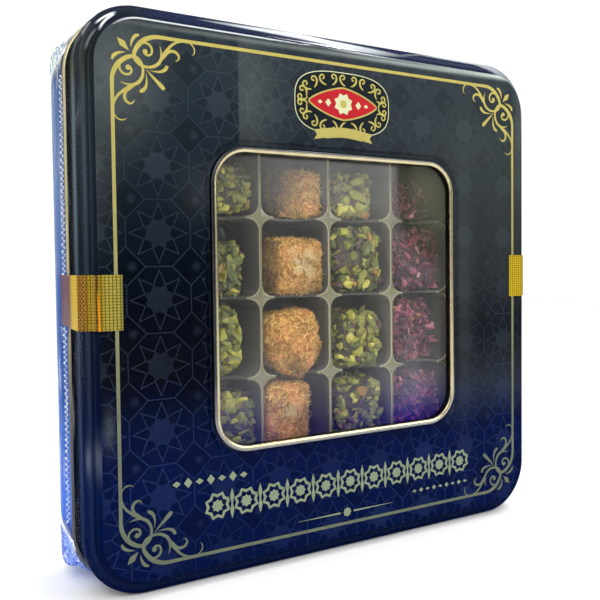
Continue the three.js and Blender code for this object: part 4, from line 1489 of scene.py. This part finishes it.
def make_seam(material):
    """Weld of the wrap: a puckered bead that winds along the seam's strip."""
    low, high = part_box("film_seam")
    points, faces = [], []
    bead, pitch, slant, wander = 0.34, 2.1, 3.4, 0.8
    steps, sides = int((high.z - low.z) * 1000 / pitch * 8), 6
    middle = (low.y + high.y) * 500 - FACE_Y
    for i in range(steps + 1):
        z = low.z * 1000 + (high.z - low.z) * 1000 * i / steps
        turn = 2 * math.pi * z / pitch + 0.9 * math.sin(z * 0.23) + 0.6 * math.sin(z * 0.61)
        thick = bead * (0.75 + 0.35 * math.sin(turn * 2 + 0.6 * math.sin(z * 0.31)))
        sway = wander * math.sin(turn) * (0.7 + 0.3 * math.sin(z * 0.17))
        depth = middle + slant * (1 - i / steps) + sway
        for k in range(sides):
            a = 2 * math.pi * k / sides
            out = low.x * 1000 - 0.45 * (1 + math.cos(turn)) + thick * math.cos(a)
            points.append((out, z - TIN_HALF, depth + thick * math.sin(a)))
    for i in range(steps):
        for k in range(sides):
            j = (k + 1) % sides
            a, b = i * sides, (i + 1) * sides
            faces.append([a + k, a + j, b + j, b + k])
    faces.append(list(range(sides))[::-1])
    faces.append([steps * sides + k for k in range(sides)])
    mesh_piece("seam_bead", points, faces, material, ["film_seam"])


WRAP_GAP = 0.35
# The wrap from the front's middle round to the back's: depth, and half width.
WRAP_PROFILE = [
    (-0.9, 40), (-0.9, 90), (-0.85, 92.75), (-0.75, 93.2), (-0.5, 93.7), (-0.25, 94.05),
    (0.0, 94.35), (0.4, 94.8), (0.9, 95.5), (2.2, 97.4), (4.4, 99.5), (6.5, 99.5), (9, 99.5),
    (12, 99.5), (15, 99.5), (17.6, 99.6), (19.5, 100.2), (21.6, 99.7), (24.5, 99.5), (26.5, 99.5),
    (29, 99.5), (31.5, 99.5), (34, 99.5), (36.5, 99.5), (39, 99.5), (41, 99.5), (43, 99.5),
    (44.8, 99.5), (45.4, 98.9), (45.4, 97), (45.4, 40),
]


def make_wrap(material):
    """Clear wrap round the whole tin: taut at the front, creased round the sides."""
    rng = np.random.default_rng(21)
    steps, sides = 36, 60
    outline = square_ring(1.0, CORNER_RADIUS / TIN_HALF, steps, sides)
    outward = outline / np.linalg.norm(outline, axis=1, keepdims=True)
    count = len(outline)
    turn = np.arange(count) / count * 2 * math.pi
    waves = [(rng.uniform(0, 6.28), rng.integers(3, 40), rng.uniform(0.3, 2.2)) for _ in range(9)]
    off = np.abs(outline) - (1 - CORNER_RADIUS / TIN_HALF)
    rise = np.degrees(np.arctan2(off[:, 1], off[:, 0]))
    # Gathered film stands out as a pointed ear at each back corner: straight on from the side to
    # its tip and down to the corner's arc again. Per vertex: the tip's angle, the end, and more.
    low, left = outline[:, 1] < 0, outline[:, 0] < 0

    def ear_at(low_left, high_left, right):
        return np.where(left, np.where(low, low_left, high_left), right)

    tip, end, more = ear_at(32.0, 22.0, 28.0), ear_at(64.0, 46.0, 58.0), ear_at(2.4, 1.6, 1.2)
    before = np.clip(np.minimum(rise, tip), 0, 60)
    lift = CORNER_RADIUS * (1 / np.cos(np.radians(before)) - 1) + more * (before / tip) ** 2
    lift *= np.clip((end - rise) / (end - tip), 0, 1) * (rise >= 0) * (off[:, 0] > 0)
    # A painted white highlight line runs along the top edge: on the very edge at its middle, and
    # before it beside.
    across = outline[:, 0]
    top_line = np.clip((outline[:, 1] - 0.9) / 0.06, 0, 1)
    top_line *= np.clip((across + 0.93) / 0.08, 0, 1) * np.clip((0.97 - across) / 0.1, 0, 1)
    middle = np.clip(1 - np.abs(across + 0.1) / 0.24, 0, 1)
    fading = 1 - 0.75 * np.clip((across - 0.05) / 0.2, 0, 1)
    rings, tones = [], []
    for depth, half in WRAP_PROFILE:
        ring = square_ring(half + WRAP_GAP, corner_radius(half), steps, sides)
        crinkle = sum(np.sin(turn * n + depth * k + p) for p, n, k in waves) / 3
        noise = rng.normal(size=count)
        on_side = 1.0 if 4 < depth < 44 else 0.0
        behind = 1.0 if depth > SKIRT_DEPTH else 0.25
        ear = on_side * lift * np.interp(depth, [20.5, 24.5, 33, 45], [0, 0.5, 1, 0.5])
        swell = on_side * behind * (0.22 + 0.2 * crinkle + 0.08 * noise)
        swell = np.clip(swell, -0.1, 1.2) + ear * (1 + 0.05 * noise)
        rings.append(at_depth(ring + outward * swell[:, None], depth))
        # Painted white glints on the crests of the creases, brighter behind the curl.
        shine = 1.0 if depth > SKIRT_DEPTH + CURL_HEIGHT else 0.2
        white = on_side * shine * (np.clip(crinkle - 0.3, 0, 1) * 0.7 + 0.05)
        edge = 0 * top_line
        if -0.1 < depth < 0.1:
            edge = top_line * middle
        elif -0.8 < depth < -0.6:
            edge = top_line * (1 - middle) * fading
        tuft = np.clip(ear * 1.6, 0, 1)
        tones.append(np.stack([np.clip(white, 0, 1), edge, tuft, np.ones(count)], 1))
    points, faces = loft(rings, caps=True)
    colours = np.concatenate([*tones, [[0, 0, 0, 1]] * 2])
    mesh_piece("crinkled_wrap", points, faces, material, (), 50, colours)


# ---------------------------------------------------------------- build
make_lid(print_material())
make_rings(gold_material())
make_base(base_material())
make_tray(tray_material())
make_cubes()

dark_ink, red_ink, gold_ink, pale_ink = Drawing(0.02), Drawing(0.04), Drawing(0.04), Drawing(0.045)
draw_frame(gold_ink)
draw_badge(gold_ink, pale_ink, red_ink, dark_ink)
draw_band(pale_ink)
inks = {
    "gold_line_work": (gold_ink, shown(92, 98, 84), shown(166, 154, 82)),
    "pale_ornament": (pale_ink, shown(118, 128, 106), shown(190, 192, 152)),
    "red_cartouche": (red_ink, shown(120, 20, 26), shown(162, 30, 38)),
    "dark_ornament_ground": (dark_ink, shown(9, 20, 40), shown(16, 24, 26)),
}
for name, (drawing, low, high) in inks.items():
    drawing.piece(name, print_gold_material(name.replace("_", " "), low, high))

tape = tape_material()
flat_looks = {
    "window_sheet": sheet_material(),
    "seal_tape_left": tape,
    "seal_tape_right": tape,
}
for name, material in flat_looks.items():
    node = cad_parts[name]
    node.data.materials.clear()
    node.data.materials.append(material)
make_wrap(wrap_material())
make_seam(seam_material())


# ---------------------------------------------------------------- camera, stage and light
# The photo's camera, recovered from the lid's corners: its place in the front frame, and where
# it looks and its upward direction in the row frame.
CAMERA_AT = (-148.97, 11.98, -232.2)
CAMERA_LOOK = (0.4854, 0.8736, -0.0339)
CAMERA_UP = (0.0266, 0.0240, 0.9994)
LAMPS_AIM = (0, 0, 0.1)


def make_camera():
    data = bpy.data.cameras.new("camera")
    camera = bpy.data.objects.new("camera", data)
    bpy.context.scene.collection.objects.link(camera)
    forward = Vector(CAMERA_LOOK).normalized()
    right = forward.cross(Vector(CAMERA_UP)).normalized()
    up = right.cross(forward)
    turn = Matrix((right, up, -forward)).transposed()
    camera.matrix_world = Matrix.Translation(place(CAMERA_AT)) @ turn.to_4x4()
    data.sensor_width = 36
    data.lens = 42.79
    data.shift_y = -0.0167
    data.clip_start = 0.01
    bpy.context.scene.camera = camera


def make_floor():
    g = Graph("pale floor")
    colour = g.mix(g.noise(3.0), (0.86, 0.86, 0.86), (0.9, 0.9, 0.9))
    material = g.surface(Base_Color=colour, Roughness=0.7)
    mesh = bpy.data.meshes.new("floor")
    reach, below = 1.5, -0.0004
    corners = [(-reach, -reach), (reach, -reach), (reach, reach), (-reach, reach)]
    mesh.from_pydata([(x, y, below) for x, y in corners], [], [[0, 1, 2, 3]])
    mesh.materials.append(material)
    floor = bpy.data.objects.new("floor", mesh)
    bpy.context.scene.collection.objects.link(floor)


def softbox(name, place_at, width, height, radiance):
    data = bpy.data.lights.new(name, "AREA")
    data.shape = "RECTANGLE"
    data.size, data.size_y = width, height
    data.energy = radiance * math.pi * width * height
    light = bpy.data.objects.new(name, data)
    light.location = place_at
    light.rotation_mode = "QUATERNION"
    light.rotation_quaternion = (Vector(LAMPS_AIM) - Vector(place_at)).to_track_quat("-Z", "Y")
    bpy.context.scene.collection.objects.link(light)


def make_world():
    """Plain white surround, and for the light itself bright overhead and dim all round."""
    bpy.context.scene.world = bpy.data.worlds.new("studio")
    g = Graph("studio", bpy.context.scene.world, "Generated")

    def toward(direction, low, high, amount):
        inputs = {0: g.where, 1: Vector(direction).normalized()}
        dot = g.value("ShaderNodeVectorMath", inputs, "Value", operation="DOT_PRODUCT")
        inputs = {"Value": dot, "From Min": low, "From Max": high, "To Max": amount}
        return g.value("ShaderNodeMapRange", inputs, "Result", interpolation_type="SMOOTHSTEP")

    ahead = toward((CAMERA_LOOK[0], CAMERA_LOOK[1], 0.0), 0.76, 0.86, 0.9)
    total = toward((0, 0, 1), 0.35, 0.9, 1.3) + (ahead + 0.22)
    direct = g.value("ShaderNodeLightPath", output="Is Camera Ray")
    inputs = {"Color": (1, 1, 1), "Strength": g.larger(total, direct)}
    g.node("ShaderNodeOutputWorld", {"Surface": g.node("ShaderNodeBackground", inputs)})


make_camera()
make_floor()
make_world()
softbox("key", (0.85, -0.95, 0.62), 0.8, 0.6, 5.0)
softbox("side", (-1.15, -0.3, 0.25), 0.12, 0.9, 14.0)
softbox("fill", (-0.45, -0.85, 0.75), 0.6, 0.6, 5.6)
softbox("strip", (0.58, 0.0, 1.15), 1.0, 0.05, 38.0)
bpy.context.scene.view_settings.view_transform = "Standard"
